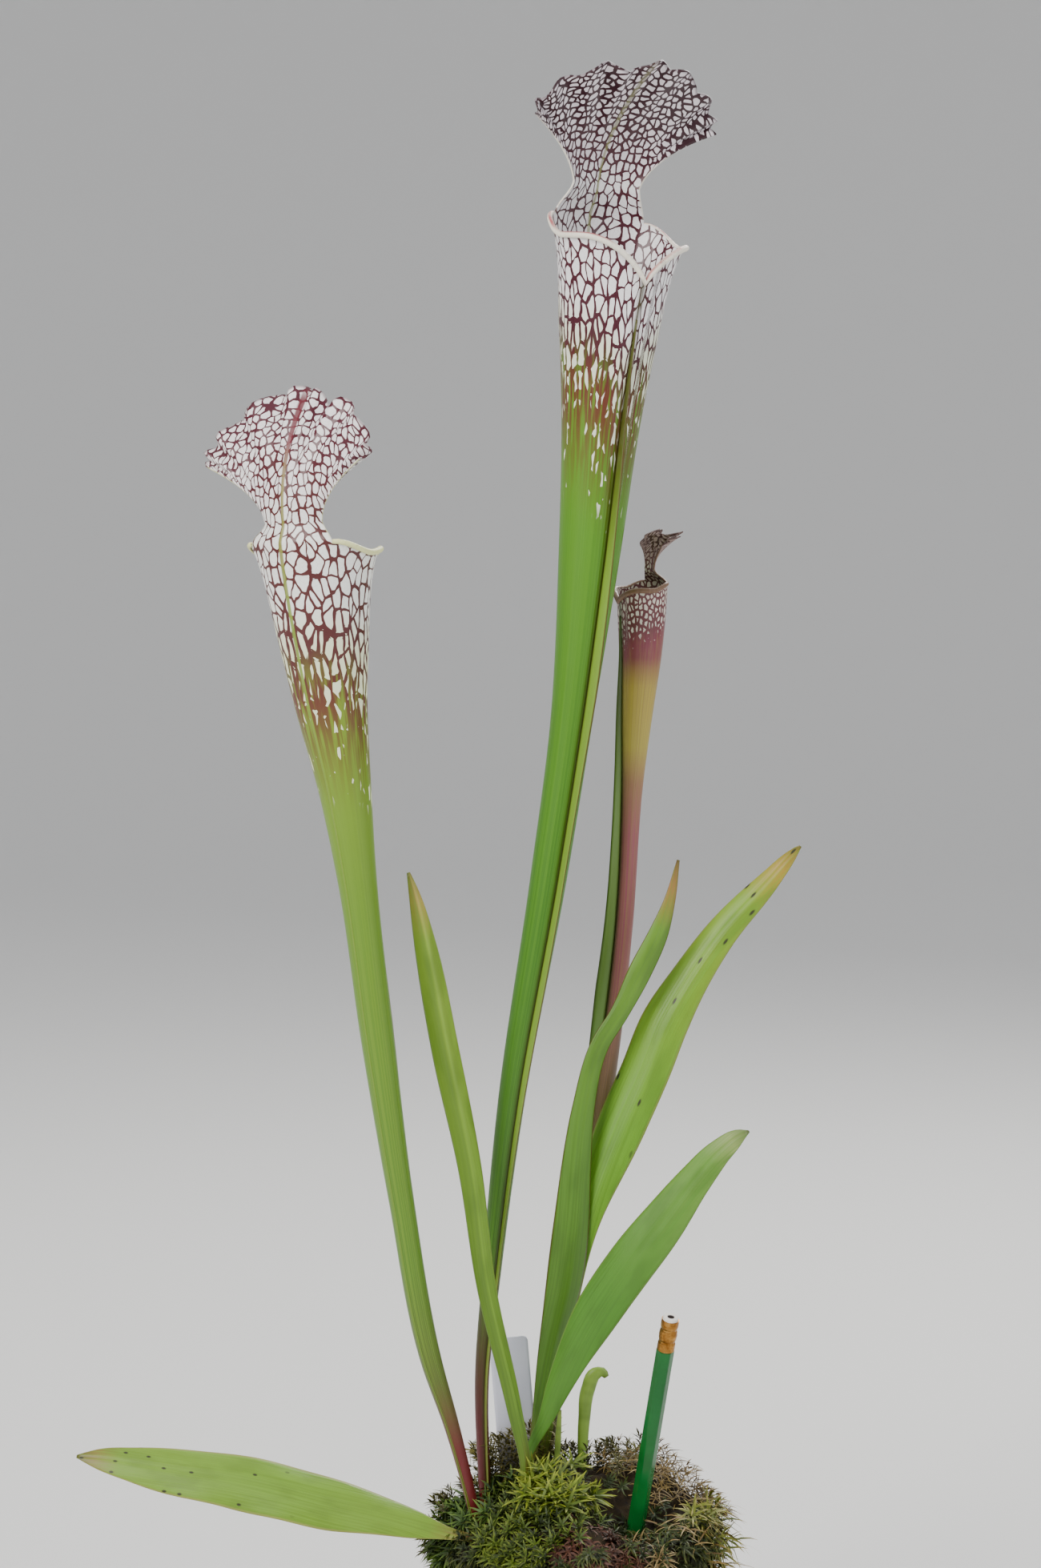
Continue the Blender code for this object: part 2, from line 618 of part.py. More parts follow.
def build_tag():
    tag = flat_tag("plant_tag", PLANT, 0.0)
    finish(tag, (0.42, 0.42, 0.5), 0.4)
    return flat_tag("cut_tag", CUTTERS, GAP)


def pencil_rows(sections):
    """Rows for ring_loft: each section is (distance from the top, radius)."""
    top, foot = np.array(PENCIL_TOP), np.array(PENCIL_FOOT)
    along = unit(foot - top)
    return np.array([(*(top + along * distance), radius) for distance, radius in sections])


def build_pencil():
    length = float(np.linalg.norm(np.array(PENCIL_TOP) - np.array(PENCIL_FOOT)))
    corner = PENCIL_FLAT / math.cos(math.pi / 6)
    start = ERASER_PROUD + FERRULE_LENGTH + GAP
    barrel = ring_loft("pencil_barrel", pencil_rows([
        (start - 6.0, PENCIL_FLAT - 0.45), (start, PENCIL_FLAT - 0.45), (start + 0.01, corner),
        (length - 18.0, corner), (length - 2.0, LEAD_RADIUS + 1.0)]), 6)
    bore = ring_loft("lead_bore", pencil_rows([
        (start - 10.0, LEAD_RADIUS + GAP), (length + 5.0, LEAD_RADIUS + GAP)]), 12, group=CUTTERS)
    cut(barrel, [bore])
    finish(barrel, (0.01, 0.12, 0.04), 0.3)
    lead = ring_loft("pencil_lead", pencil_rows([
        (start - 6.0, LEAD_RADIUS), (length - 2.0, LEAD_RADIUS), (length, 0.3)]), 12)
    finish(lead, (0.03, 0.03, 0.03), 0.5)
    ferrule = ring_loft("pencil_ferrule", pencil_rows([
        (ERASER_PROUD, FERRULE_RADIUS), (ERASER_PROUD + FERRULE_LENGTH, FERRULE_RADIUS)]), 24)
    hollow = ring_loft("ferrule_bore", pencil_rows([
        (-5.0, FERRULE_RADIUS - FERRULE_WALL), (start + 5.0, FERRULE_RADIUS - FERRULE_WALL)]), 24,
        group=CUTTERS)
    cut(ferrule, [hollow])
    finish(ferrule, (0.55, 0.3, 0.1), 0.35, 1.0)
    rubber = FERRULE_RADIUS - FERRULE_WALL - GAP
    eraser = ring_loft("pencil_eraser", pencil_rows([
        (0.0, rubber), (start - 6.0 - GAP, rubber)]), 20)
    dimple = ring_loft("eraser_dimple", pencil_rows([(-1.0, 1.5), (1.2, 1.1)]), 12, group=CUTTERS)
    cut(eraser, [dimple])
    finish(eraser, (0.75, 0.72, 0.68), 0.7)
    return ring_loft("cut_pencil", pencil_rows([
        (length - 60.0, corner + GAP), (length - 17.5, corner + GAP), (length + GAP, LEAD_RADIUS + 1.6)]),
        6, group=CUTTERS)


# --- the whole plant ---------------------------------------------------------------------------
def build():
    rooms = []
    pitchers = [
        ("pitcher_tall", TALL_PITCHER, (0.10, 0.18, 0.03)),
        ("pitcher_left", LEFT_PITCHER, (0.13, 0.22, 0.04)),
        ("pitcher_old", OLD_PITCHER, (0.20, 0.12, 0.09)),
    ]
    for name, shape, colour in pitchers:
        rooms += pitcher(name, shape, colour)
    leaves = [                 # name, stations, way the face looks, hollow, colour
        ("leaf_ground", LEAF_GROUND, (0.0, -0.77, 0.64), 0.25, (0.13, 0.19, 0.03)),
        ("leaf_thin", LEAF_THIN, (0.2, -1.0, 0.05), 0.9, (0.16, 0.23, 0.04)),
        ("leaf_mid", LEAF_MID, (0.25, -1.0, 0.0), 0.35, (0.08, 0.14, 0.03)),
        ("leaf_big", LEAF_BIG, (-0.3, -1.0, 0.2), 0.3, (0.13, 0.22, 0.03)),
        ("leaf_low_right", LEAF_LOW_RIGHT, (-0.2, -1.0, 0.3), 0.2, (0.08, 0.16, 0.03)),
    ]
    for name, stations, facing, cup, colour in leaves:
        rooms.append(leaf(name, stations, facing, cup, colour))
    rooms.append(shoot("shoot_hooked", SHOOT_HOOKED, (0.12, 0.18, 0.04)))
    rooms.append(shoot("shoot_thin", SHOOT_THIN, (0.12, 0.18, 0.04)))
    rhizome_room = build_rhizome(rooms)
    build_pot()
    build_potting_mix()
    build_moss(rooms + [build_tag(), build_pencil()], rhizome_room)


build()
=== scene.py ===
"""Looks of the white-topped pitcher plant in its moss-topped pot.

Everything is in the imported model's frame: metres, +Z up, origin at the centre of the pot's base.
Lengths below are in millimetres, and MM turns them into metres where a mesh is made.
"""
import json
import math

import bmesh
import bpy
import numpy as np
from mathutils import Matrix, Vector

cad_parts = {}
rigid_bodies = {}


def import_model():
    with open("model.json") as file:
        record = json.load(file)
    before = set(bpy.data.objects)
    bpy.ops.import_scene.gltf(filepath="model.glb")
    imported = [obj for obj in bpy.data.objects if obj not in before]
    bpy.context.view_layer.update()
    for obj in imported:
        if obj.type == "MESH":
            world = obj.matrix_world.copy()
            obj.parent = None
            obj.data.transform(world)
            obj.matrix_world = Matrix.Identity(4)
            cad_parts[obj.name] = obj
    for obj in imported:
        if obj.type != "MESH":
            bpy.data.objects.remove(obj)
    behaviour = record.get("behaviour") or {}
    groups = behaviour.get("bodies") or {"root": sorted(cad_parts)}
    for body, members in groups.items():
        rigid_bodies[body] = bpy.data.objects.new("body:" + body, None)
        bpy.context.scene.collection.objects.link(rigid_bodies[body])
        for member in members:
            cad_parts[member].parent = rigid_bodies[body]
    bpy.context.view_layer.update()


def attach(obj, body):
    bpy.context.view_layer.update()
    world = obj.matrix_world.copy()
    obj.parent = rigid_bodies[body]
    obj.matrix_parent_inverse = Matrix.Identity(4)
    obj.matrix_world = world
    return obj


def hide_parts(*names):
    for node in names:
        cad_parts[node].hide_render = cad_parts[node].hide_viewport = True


MM = 0.001
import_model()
RNG = np.random.default_rng(11)

# --- the same driving sizes as the construction ------------------------------------------------
POT_HEIGHT = 84.0
POT_BASE_RADIUS = 38.0
POT_NECK_RADIUS = 49.0
POT_BAND_RADIUS = 51.5
POT_BAND_HEIGHT = 14.0
POT_WALL = 1.5
MOSS_CROWN = 124.0
MOSS_SHOULDER = 56.5
MOSS_HUMPS = [(34.0, 26.0, 15.0, 17.0), (-9.0, -4.0, 6.0, 14.0), (-46.0, 2.0, -6.0, 14.0),
              (23.0, -22.0, -18.0, 18.0)]
COLUMN_HALF_ANGLE = math.radians(55.0)

# Stations are (x, y, z, radius) up the tube. The tall hood's neck is lower and broader and its top a
# little higher than in the construction, as the photo shows.
TALL_PITCHER = {
    "stations": [
        (-37, 3, 92, 2.6), (-38.7, 4, 121, 2.6), (-39.7, 4.5, 165, 3.0), (-36, 5, 206, 3.9),
        (-27.5, 6, 281, 5.6), (-12, 7, 375, 7.6), (-2.3, 8, 442, 8.8), (4.7, 8.5, 508, 12.6),
        (10.4, 9, 574, 17.2), (13.2, 9.6, 607, 21.2)],
    "facing": (math.sin(math.radians(30)), -math.cos(math.radians(30))),
    "wing": [(0.0, 0.5), (0.2, 2.5), (0.45, 5.0), (0.7, 7.5), (0.88, 6.0), (1.0, 0.6)],
    "lip_drop": 15.0, "mouth_radius": 23.6, "lip_rise": 17.0, "lip_back": 10.0, "flare": 4.5,
    "neck_height": 56.0, "neck_half": 16.3, "neck_back": 19.0,
    "hood_half": 43.0, "hood_apex": 49.5, "hood_lobe": 26.0, "reach_apex": 36.0, "reach_lobe": 17.0,
    "frill": 2.2, "lobes": 4.5, "notch": -0.13, "roll": 0.65, "crown": 1.35, "fan": 0.14,
}
LEFT_PITCHER = {
    "stations": [
        (-39, -12, 93, 2.4), (-43.5, -16, 116, 2.4), (-52, -18.5, 150, 3.2), (-60.4, -20.4, 178, 4.4),
        (-72.4, -25.3, 246, 5.2), (-81.7, -30.3, 313, 6.8), (-89.7, -35.2, 380, 8.0),
        (-94.5, -38.2, 418, 10.8), (-100, -40.8, 455, 15.1), (-102.8, -42.7, 482, 18.8)],
    "facing": (math.sin(math.radians(34)), math.cos(math.radians(34))),
    "wing": [(0.0, 0.5), (0.2, 2.0), (0.5, 4.0), (0.75, 5.0), (0.9, 4.0), (1.0, 0.6)],
    "lip_drop": 15.0, "mouth_radius": 21.4, "lip_rise": 15.0, "lip_back": 7.0, "flare": 4.5,
    "neck_height": 45.0, "neck_half": 14.5, "neck_back": 18.0,
    "hood_half": 41.0, "hood_apex": 52.0, "hood_lobe": 26.0, "reach_apex": 24.0, "reach_lobe": 6.0,
    "frill": 2.4, "lobes": 4.5, "notch": -0.2, "roll": 0.65, "crown": 1.5, "fan": 0.05,
}
OLD_PITCHER = {
    "stations": [
        (-20, 22, 91, 2.2), (-10.5, 26, 136, 2.2), (-2, 31, 202, 3.4), (7.4, 34, 250, 4.2),
        (14, 36, 296, 4.2), (20.3, 37, 352, 3.9), (23.7, 38, 415, 5.0), (25.3, 38, 442, 7.0),
        (27.2, 38, 470, 9.2), (27.6, 38, 484, 10.2)],
    "facing": (math.sin(math.radians(-62)), -math.cos(math.radians(-62))),
    "wing": [(0.0, 0.5), (0.3, 4.0), (0.6, 6.5), (0.75, 5.0), (0.9, 2.5), (1.0, 0.6)],
    "lip_drop": 6.0, "mouth_radius": 10.6, "lip_rise": 5.0, "lip_back": 3.0, "flare": 1.0,
    "neck_height": 20.0, "neck_half": 4.0, "neck_back": 5.0,
    "hood_half": 11.5, "hood_apex": 15.5, "hood_lobe": 12.5, "reach_apex": -4.0, "reach_lobe": -3.0,
    "frill": 3.4, "lobes": 3.0, "notch": 0.15, "roll": 0.5, "crown": 1.0, "fan": 0.0,
}
# Stations are (x, y, z, half width) along the blade.
LEAF_GROUND = [
    (-37, -22, 89, 2.0), (-42.7, -28, 104.5, 1.6), (-54, -26.4, 107, 2.8), (-68, -24.8, 110.5, 6.2),
    (-85, -23.2, 114.5, 9.2), (-106, -21.6, 119, 11.6), (-125, -20, 123.5, 12.2),
    (-145, -18.4, 127.5, 11.8), (-167, -16.8, 130.5, 10.3), (-185, -15.2, 133.2, 7.7),
    (-199, -13.6, 135, 4.6), (-208.5, -12, 135.5, 0.6)]
LEAF_THIN = [
    (-27, -12, 92, 2.0), (-21.2, -14, 130, 2.0), (-26, -15, 157, 2.9), (-37.3, -17.3, 208, 3.8),
    (-44, -19.5, 258, 4.7), (-54, -21.6, 308, 5.5), (-62.2, -23.8, 352, 4.3), (-66.5, -25, 372, 2.2),
    (-69.2, -26, 382, 0.5)]
LEAF_MID = [
    (-25, 6, 92, 2.0), (-17, 5, 141, 2.2), (-11.2, 7, 176, 4.8), (-4.9, 8.3, 205, 7.6),
    (-2, 9.7, 228, 7.7), (0.1, 11, 254, 6.3), (3, 12.2, 278, 4.7), (10, 14, 305, 4.0),
    (18, 14.6, 318, 3.9), (27, 15.6, 336, 4.9), (34.6, 16.3, 352, 4.1), (38.9, 17, 365, 2.4),
    (42.6, 18, 382.5, 0.5)]
LEAF_BIG = [
    (-22, 14, 92, 2.0), (-12.3, 14, 140, 2.2), (-5, 15, 185, 3.6), (3.9, 16, 230, 6.4),
    (19, 20, 270, 10.5), (28.7, 22, 292, 10.6), (37.2, 24, 313, 10.2), (47.7, 26, 331, 8.4),
    (60.9, 28, 350, 6.9), (82.3, 32, 373, 4.3), (91.4, 34, 383, 2.1), (95, 35.5, 386.5, 0.5)]
LEAF_LOW_RIGHT = [
    (-26, -3, 92, 1.8), (-19.1, -4, 137, 1.9), (-13.5, -6.2, 149, 3.0), (-7.3, -8.4, 165, 5.4),
    (-1.2, -10.5, 179, 7.4), (6.6, -12.7, 194, 9.3), (21.9, -17.1, 218, 10.2),
    (36, -19.5, 237, 9.2), (48.2, -21.5, 254, 7.0), (58, -23.6, 266, 5.2), (66, -25.8, 273, 3.0),
    (70, -28, 275.5, 0.5)]
SHOOT_HOOKED = [
    (-5, 10, 91, 1.5), (2.0, 11.5, 122, 1.7), (3.4, 12, 145, 2.2), (5.0, 12, 158, 2.6),
    (8.4, 12, 165, 2.4), (11.4, 12, 165.4, 1.8), (12.8, 12, 163.5, 1.0)]
SHOOT_THIN = [(-12, 4, 93, 0.9), (-8.4, 5, 125, 1.0), (-7.6, 5, 140, 1.1), (-6.9, 5, 151, 0.6)]
TAG_WIDTH = 16.5
TAG_THICKNESS = 0.8
TAG_TOP = (-28.8, 29.5, 176.4)
TAG_FOOT = (-22.5, 28.5, 100.0)
PENCIL_TOP = (37.7, -46.0, 202.5)
PENCIL_FOOT = (21.7, -10.2, 86.5)
PENCIL_FLAT = 3.35
FERRULE_RADIUS = 3.75
FERRULE_LENGTH = 14.0
ERASER_PROUD = 1.2
LEAF_THICKNESS = 0.8
PITCHER_WALL = 0.7


# --- small helpers -----------------------------------------------------------------------------
def unit(vector):
    return vector / np.linalg.norm(vector)


def step_up(edge0, edge1, value):
    """0 below edge0, 1 above edge1, and smooth between them."""
    t = np.clip((value - edge0) / (edge1 - edge0), 0.0, 1.0)
    return t * t * (3.0 - 2.0 * t)


def smooth_through(stations, count):
    """Points on a smooth curve through the stations, evenly spread along its length."""
    knots = np.array(stations, dtype=float)
    steps = np.linalg.norm(np.diff(knots[:, :3], axis=0), axis=1)
    at = np.concatenate([[0.0], np.cumsum(steps)])
    slopes = np.gradient(knots, at, axis=0)
    wanted = np.linspace(0.0, at[-1], count)
    cell = np.clip(np.searchsorted(at, wanted, side="right") - 1, 0, len(at) - 2)
    span = (at[cell + 1] - at[cell])[:, None]
    t = ((wanted - at[cell]) / (at[cell + 1] - at[cell]))[:, None]
    start = (2 * t**3 - 3 * t**2 + 1) * knots[cell] + (t**3 - 2 * t**2 + t) * span * slopes[cell]
    end = (3 * t**2 - 2 * t**3) * knots[cell + 1] + (t**3 - t**2) * span * slopes[cell + 1]
    return start + end


def directions(curve):
    return [unit(v) for v in np.gradient(curve[:, :3], axis=0)]


def full_turn(sides):
    return np.linspace(0.0, 2 * math.pi, sides, endpoint=False)


def ring(centre, along, reach, angles):
    """Points round `centre`, square to `along`, at `reach` from it."""
    right = unit(np.cross(np.array((0.0, 1.0, 0.0)), along))
    front = np.cross(along, right)
    return centre + np.outer(reach * np.cos(angles), right) + np.outer(reach * np.sin(angles), front)


def with_bmesh(mesh, change):
    work = bmesh.new()
    work.from_mesh(mesh)
    change(work)
    work.to_mesh(mesh)
    work.free()


class Sheet:
    """Gathers grids of points, in millimetres, with named values at each point.

    `corners` holds a texture place for each corner of each face, where a piece has a texture layout.
    """

    def __init__(self, *names):
        self.points = []
        self.faces = []
        self.corners = []
        self.values = {name: [] for name in names}

    def add_point(self, point, **values):
        self.points.append(tuple(float(c) for c in point))
        for name, held in self.values.items():
            held.append(float(values.get(name, 0.0)))
        return len(self.points) - 1

    def add_face(self, corners, places):
        self.faces.append(corners)
        self.corners.append(places)

    def add_grid(self, rows, values, wrap=False, flip=False):
        """rows is (n, m, 3), and each of values is (n, m)."""
        rows = np.asarray(rows)
        n, m = rows.shape[:2]
        start = len(self.points)
        self.points += [tuple(p) for p in rows.reshape(-1, 3)]
        for name, held in self.values.items():
            block = np.broadcast_to(values.get(name, 0.0), (n, m))
            held += [float(v) for v in block.reshape(-1)]
        for r in range(n - 1):
            for i in range(m if wrap else m - 1):
                a, b = start + r * m + i, start + r * m + (i + 1) % m
                c, d = b + m, a + m
                self.faces.append((a, d, c, b) if flip else (a, b, c, d))

    def close_ends(self, sides):
        """Cap a tube of rings, each with this many sides, that fills the sheet."""
        last = len(self.points) - sides
        self.faces += [tuple(range(sides - 1, -1, -1)), tuple(range(last, last + sides))]

    def build(self, name, weld=0.0):
        mesh = bpy.data.meshes.new(name)
        mesh.from_pydata([(x * MM, y * MM, z * MM) for x, y, z in self.points], [], self.faces)
        for key, held in self.values.items():
            layer = mesh.attributes.new(key, "FLOAT", "POINT")
            layer.data.foreach_set("value", held)
        if len(self.corners) == len(self.faces):
            layout = mesh.uv_layers.new(name="OFBake")
            spots = [spot for face in self.corners for spot in face]
            layout.data.foreach_set("uv", np.array(spots).ravel())
        if weld:
            with_bmesh(mesh, lambda work: bmesh.ops.remove_doubles(work, verts=work.verts, dist=weld * MM))
        mesh.shade_smooth()
        item = bpy.data.objects.new(name, mesh)
        bpy.context.scene.collection.objects.link(item)
        return item


def thicken(item, thickness, offset):
    shell = item.modifiers.new("thickness", "SOLIDIFY")
    shell.thickness = thickness * MM
    shell.offset = offset
    shell.use_even_offset = False


def place(item, material, slot, *nodes):
    """Give a piece its finish, and let it stand for its construction nodes."""
    item.data.materials.clear()
    item.data.materials.append(material)
    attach(item, "root")
    if nodes:
        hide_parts(*nodes)


# --- node materials ----------------------------------------------------------------------------
class Paint:
    """A short way to write a material's nodes."""

    def __init__(self, name, roughness=0.5, specular=0.5):
        self.material = bpy.data.materials.new(name)
        self.material.use_nodes = True
        self.tree = self.material.node_tree
        self.shader = self.tree.nodes["Principled BSDF"]
        self.shader.inputs["Roughness"].default_value = roughness
        self.shader.inputs["Specular IOR Level"].default_value = specular

    def node(self, kind, **settings):
        made = self.tree.nodes.new(kind)
        for key, value in settings.items():
            setattr(made, key, value)
        return made

    def feed(self, socket, value):
        if isinstance(value, bpy.types.NodeSocket):
            self.tree.links.new(value, socket)
        elif isinstance(value, tuple) and len(value) == 3 and socket.type == "RGBA":
            socket.default_value = (*value, 1.0)
        else:
            socket.default_value = value

    def fill(self, node, **items):
        for key, item in items.items():
            self.feed(node.inputs[key], item)

    def value(self, name):
        return self.node("ShaderNodeAttribute", attribute_name=name).outputs["Fac"]

    def math(self, operation, a, b=0.0):
        made = self.node("ShaderNodeMath", operation=operation)
        self.feed(made.inputs[0], a)
        self.feed(made.inputs[1], b)
        return made.outputs[0]

    def times(self, a, b):
        return self.math("MULTIPLY", a, b)

    def plus(self, a, b):
        return self.math("ADD", a, b)

    def minus(self, a, b):
        return self.math("SUBTRACT", a, b)

    def span(self, value, low, high, to_low=0.0, to_high=1.0, smooth=True):
        """Map low..high to to_low..to_high, held at the ends."""
        made = self.node("ShaderNodeMapRange", interpolation_type="SMOOTHSTEP" if smooth else "LINEAR")
        for key, item in (("Value", value), ("From Min", low), ("From Max", high),
                          ("To Min", to_low), ("To Max", to_high)):
            self.feed(made.inputs[key], item)
        return made.outputs["Result"]

    def mix(self, factor, a, b):
        made = self.node("ShaderNodeMix", data_type="RGBA")
        self.feed(made.inputs[0], factor)
        self.feed(made.inputs[6], a)
        self.feed(made.inputs[7], b)
        return made.outputs[2]

    def ramp(self, value, stops):
        made = self.node("ShaderNodeValToRGB")
        bar = made.color_ramp
        while len(bar.elements) < len(stops):
            bar.elements.new(0.5)
        for element, (at, colour) in zip(bar.elements, stops):
            element.position = at
            element.color = (*colour, 1.0)
        self.feed(made.inputs[0], value)
        return made.outputs[0]

    def vector(self, x, y):
        made = self.node("ShaderNodeCombineXYZ")
        self.feed(made.inputs[0], x)
        self.feed(made.inputs[1], y)
        return made.outputs[0]

    def scaled(self, x, x_scale, y, y_scale):
        return self.vector(self.times(x, x_scale), self.times(y, y_scale))

    def split(self, kind, value):
        """The three parts of a vector or of a colour."""
        made = self.node(kind)
        self.feed(made.inputs[0], value)
        return made.outputs

    def vector_math(self, operation, a, b=None):
        made = self.node("ShaderNodeVectorMath", operation=operation)
        self.feed(made.inputs[0], a)
        if b is not None:
            self.feed(made.inputs[1], b)
        return made.outputs[0]

    def noise(self, vector, scale, detail=3.0, roughness=0.5):
        made = self.node("ShaderNodeTexNoise")
        self.fill(made, Vector=vector, Scale=scale, Detail=detail, Roughness=roughness)
        return made.outputs["Fac"]

    def cells(self, feature, vector, scale=1.0, randomness=1.0):
        made = self.node("ShaderNodeTexVoronoi", feature=feature, voronoi_dimensions="2D")
        self.fill(made, Vector=vector, Scale=scale, Randomness=randomness)
        return made.outputs

    def place_in(self):
        return self.node("ShaderNodeTexCoord").outputs["Object"]

    def bump(self, height, strength, distance):
        made = self.node("ShaderNodeBump")
        self.fill(made, Strength=strength, Distance=distance, Height=height)
        self.feed(self.shader.inputs["Normal"], made.outputs["Normal"])

    def colour(self, value):
        self.feed(self.shader.inputs["Base Color"], value)

    def roughness(self, value):
        self.feed(self.shader.inputs["Roughness"], value)


def window_net(paint, across, along):
    """A net of round-cornered windows. Gives the flow, the room from a vein, and a chance value
    for each window.
    """
    wobble = paint.noise(paint.vector(across, along), 0.7, 2.0)
    flow = paint.vector(paint.plus(across, paint.times(wobble, 0.9)),
                        paint.plus(along, paint.times(wobble, 0.6)))
    edge, cells, next_cells = (paint.cells(feature, flow, randomness=0.9)
                               for feature in ("DISTANCE_TO_EDGE", "F1", "F2"))
    luck = paint.split("ShaderNodeSeparateColor", cells["Color"])[0]
    # the net is drawn in window units, so a vein across a long window would come out thick
    apart = paint.vector_math("SUBTRACT", next_cells["Position"], cells["Position"])
    heading = paint.split("ShaderNodeSeparateXYZ", paint.vector_math("NORMALIZE", apart))
    upward = paint.math("DIVIDE", heading[1], paint.value("stretch"))
    squares = paint.plus(paint.times(heading[0], heading[0]), paint.times(upward, upward))
    shrink = paint.math("SQRT", squares)
    true_room = paint.math("DIVIDE", edge["Distance"], paint.math("MAXIMUM", shrink, 0.2))
    # corners lie far from a window's middle: taking some off there rounds the windows
    corner = paint.times(paint.span(cells["Distance"], 0.42, 0.85, 0.0, 1.0, False), 0.17)
    return flow, paint.minus(true_room, corner), luck


def pitcher_paint(name, look):
    """White windows in a maroon net above, green below, red at the foot, and painted shade in the crease
    where the wing meets the tube.
    """
    paint = Paint(name, 0.42, 0.45)
    mix, span, times, noise = paint.mix, paint.span, paint.times, paint.noise
    across, along, depth, height, rise, lip, rib, wing, seam_shade = (paint.value(key) for key in (
        "flow_x", "flow_y", "depth", "height", "rise", "lip", "rib", "wing", "seam_shade"))
    flow, room, luck = window_net(paint, across, along)
    net, net_end, dots_end = look["net"], look["net_end"], look["dots_end"]
    # veins widen down the tube until the windows shrink to slits, then to nothing
    fade = span(depth, net_end, dots_end)
    main = noise(paint.scaled(across, 0.55, along, 0.12), 1.0, 1.0)
    width = span(depth, net_end * 0.35, net_end, net, net + 0.12, False)
    added = (span(main, 0.52, 0.66, 0.0, 0.045), span(rise, 0.0, 0.15, 0.0, look["hood_net"]),
             times(fade, 0.8), times(luck, paint.plus(times(fade, 0.3), 0.04)))
    for more in added:
        width = paint.plus(width, more)
    window = span(room, paint.minus(width, 0.03), paint.plus(width, 0.03))
    window = times(window, span(depth, dots_end, dots_end * 1.12, 1.0, 0.0))
    fine = paint.cells("DISTANCE_TO_EDGE", flow, 2.7)["Distance"]
    threads = times(span(fine, 0.02, 0.07, 0.22, 0.0), span(depth, 0.0, 40.0, 1.0, 0.0))
    pale = mix(span(depth, 20.0, net_end), look["white"], look["white_low"])
    pale = mix(span(rise, 0.0, 0.3), pale, look["white_hood"])
    pale = mix(threads, pale, look["vein_soft"])
    # the leaf's own skin, striped green and flushed red where the net ends
    streaks = noise(paint.scaled(across, 1.7, along, 0.45), 1.0, 3.0)
    blush = times(span(streaks, 0.38, 0.56, 0.15, 1.0),
                        span(depth, dots_end * 0.6, dots_end * 1.2, 1.0, 0.0))
    stripes = noise(paint.scaled(across, 2.0, along, 0.05), 1.0, 2.0)
    striped = times(span(stripes, 0.38, 0.68, 0.0, 0.5), span(height, 0.1, 0.2))
    skin = mix(striped, paint.ramp(height, look["skin"]), look["stripe"])
    between = mix(blush, skin, look["blush"])
    veins = mix(span(depth, net_end * 0.85, net_end * 1.5),
                      mix(span(rise, 0.0, 0.9), look["vein_low"], look["vein"]), between)
    finish = mix(window, veins, pale)
    band = times(span(rib, 0.42, 0.72), span(rise, 0.9, 1.0, look["rib_strength"], 0.4))
    finish = mix(band, finish, paint.ramp(height, look["rib"]))
    # painted shade: the crease down the front of the tube, where the wing meets it, is darkened
    finish = mix(times(seam_shade, 0.85), finish, look["seam_shade"])
    finish = mix(span(rise, 0.975, 1.0, 0.0, 0.65), finish, look["vein"])
    # the lip is pale, with a flushed line along its crest
    crest = paint.math("ABSOLUTE", paint.minus(lip, LIP_CREST))
    flush = times(span(noise(flow, 0.16, 2.0), 0.40, 0.56, 0.2, 0.95),
                        span(crest, 0.08, 0.26, 1.0, 0.0))
    finish = mix(span(lip, 0.0, 0.5), finish, mix(flush, look["lip"], look["lip_blush"]))
    blade = mix(look["wing_share"], skin, look["wing"])
    # painted shade: the wing is darkened towards its root, in the crease against the tube
    blade = mix(span(wing, 0.2, 0.45, 0.9, 0.0), blade, look["seam_shade"])
    # the wing is also darkened with this colour towards its top
    blade = mix(span(height, 0.60, 0.72, 0.0, 0.9), blade, look["seam_shade"])
    blade = mix(span(wing, 0.88, 0.98), blade, look["wing_edge"])
    paint.colour(mix(span(wing, 0.0, 0.1), finish, blade))
    paint.roughness(span(window, 0.0, 1.0, 0.34, 0.48))
    paint.bump(paint.plus(times(window, -0.6), times(stripes, 0.8)), 0.5, 0.0005)
    return paint.material


def leaf_paint(name, look):
    """Fine parallel veins, a blushed foot, a dry tip, a pale margin, a few dark spots, and painted shade on
    one half of a folded blade.
    """
    paint = Paint(name, 0.4, 0.38)
    mix, span, times = paint.mix, paint.span, paint.times
    along, across = paint.value("along"), paint.value("across")
    reach = times(across, paint.value("half"))
    lines = paint.noise(paint.scaled(reach, 1.6, along, 3.0), 1.0, 3.0, 0.6)
    patches = paint.noise(paint.scaled(reach, 0.12, along, 9.0), 1.0, 2.0)
    skin = paint.ramp(along, look["skin"])
    skin = mix(span(lines, 0.35, 0.65, 0.0, 0.5), skin, look["line"])
    skin = mix(span(patches, 0.45, 0.65, 0.0, 0.35), skin, look["patch"])
    edge = paint.math("ABSOLUTE", across)
    skin = mix(span(edge, 0.9, 0.98, 0.0, 0.75), skin, look["margin"])
    # painted shade: the half of the blade on the shaded side of its fold is darkened towards the patch
    # colour, by the strength the look gives
    skin = mix(span(across, -0.15, 0.1, look["fold_shade"], 0.0), skin, look["patch"])
    dots = paint.cells("F1", paint.scaled(reach, 0.22, along, 22.0))
    chosen = paint.split("ShaderNodeSeparateColor", dots["Color"])[0]
    spot = times(span(dots["Distance"], 0.06, 0.16, 1.0, 0.0), span(chosen, 0.8, 0.82))
    spot = times(spot, span(along, 0.45, 0.6, 0.0, look["spots"]))
    paint.colour(mix(spot, skin, (0.03, 0.03, 0.01)))
    paint.roughness(span(lines, 0.3, 0.7, 0.34, 0.5))
    paint.bump(lines, 0.35, 0.0004)
    return paint.material


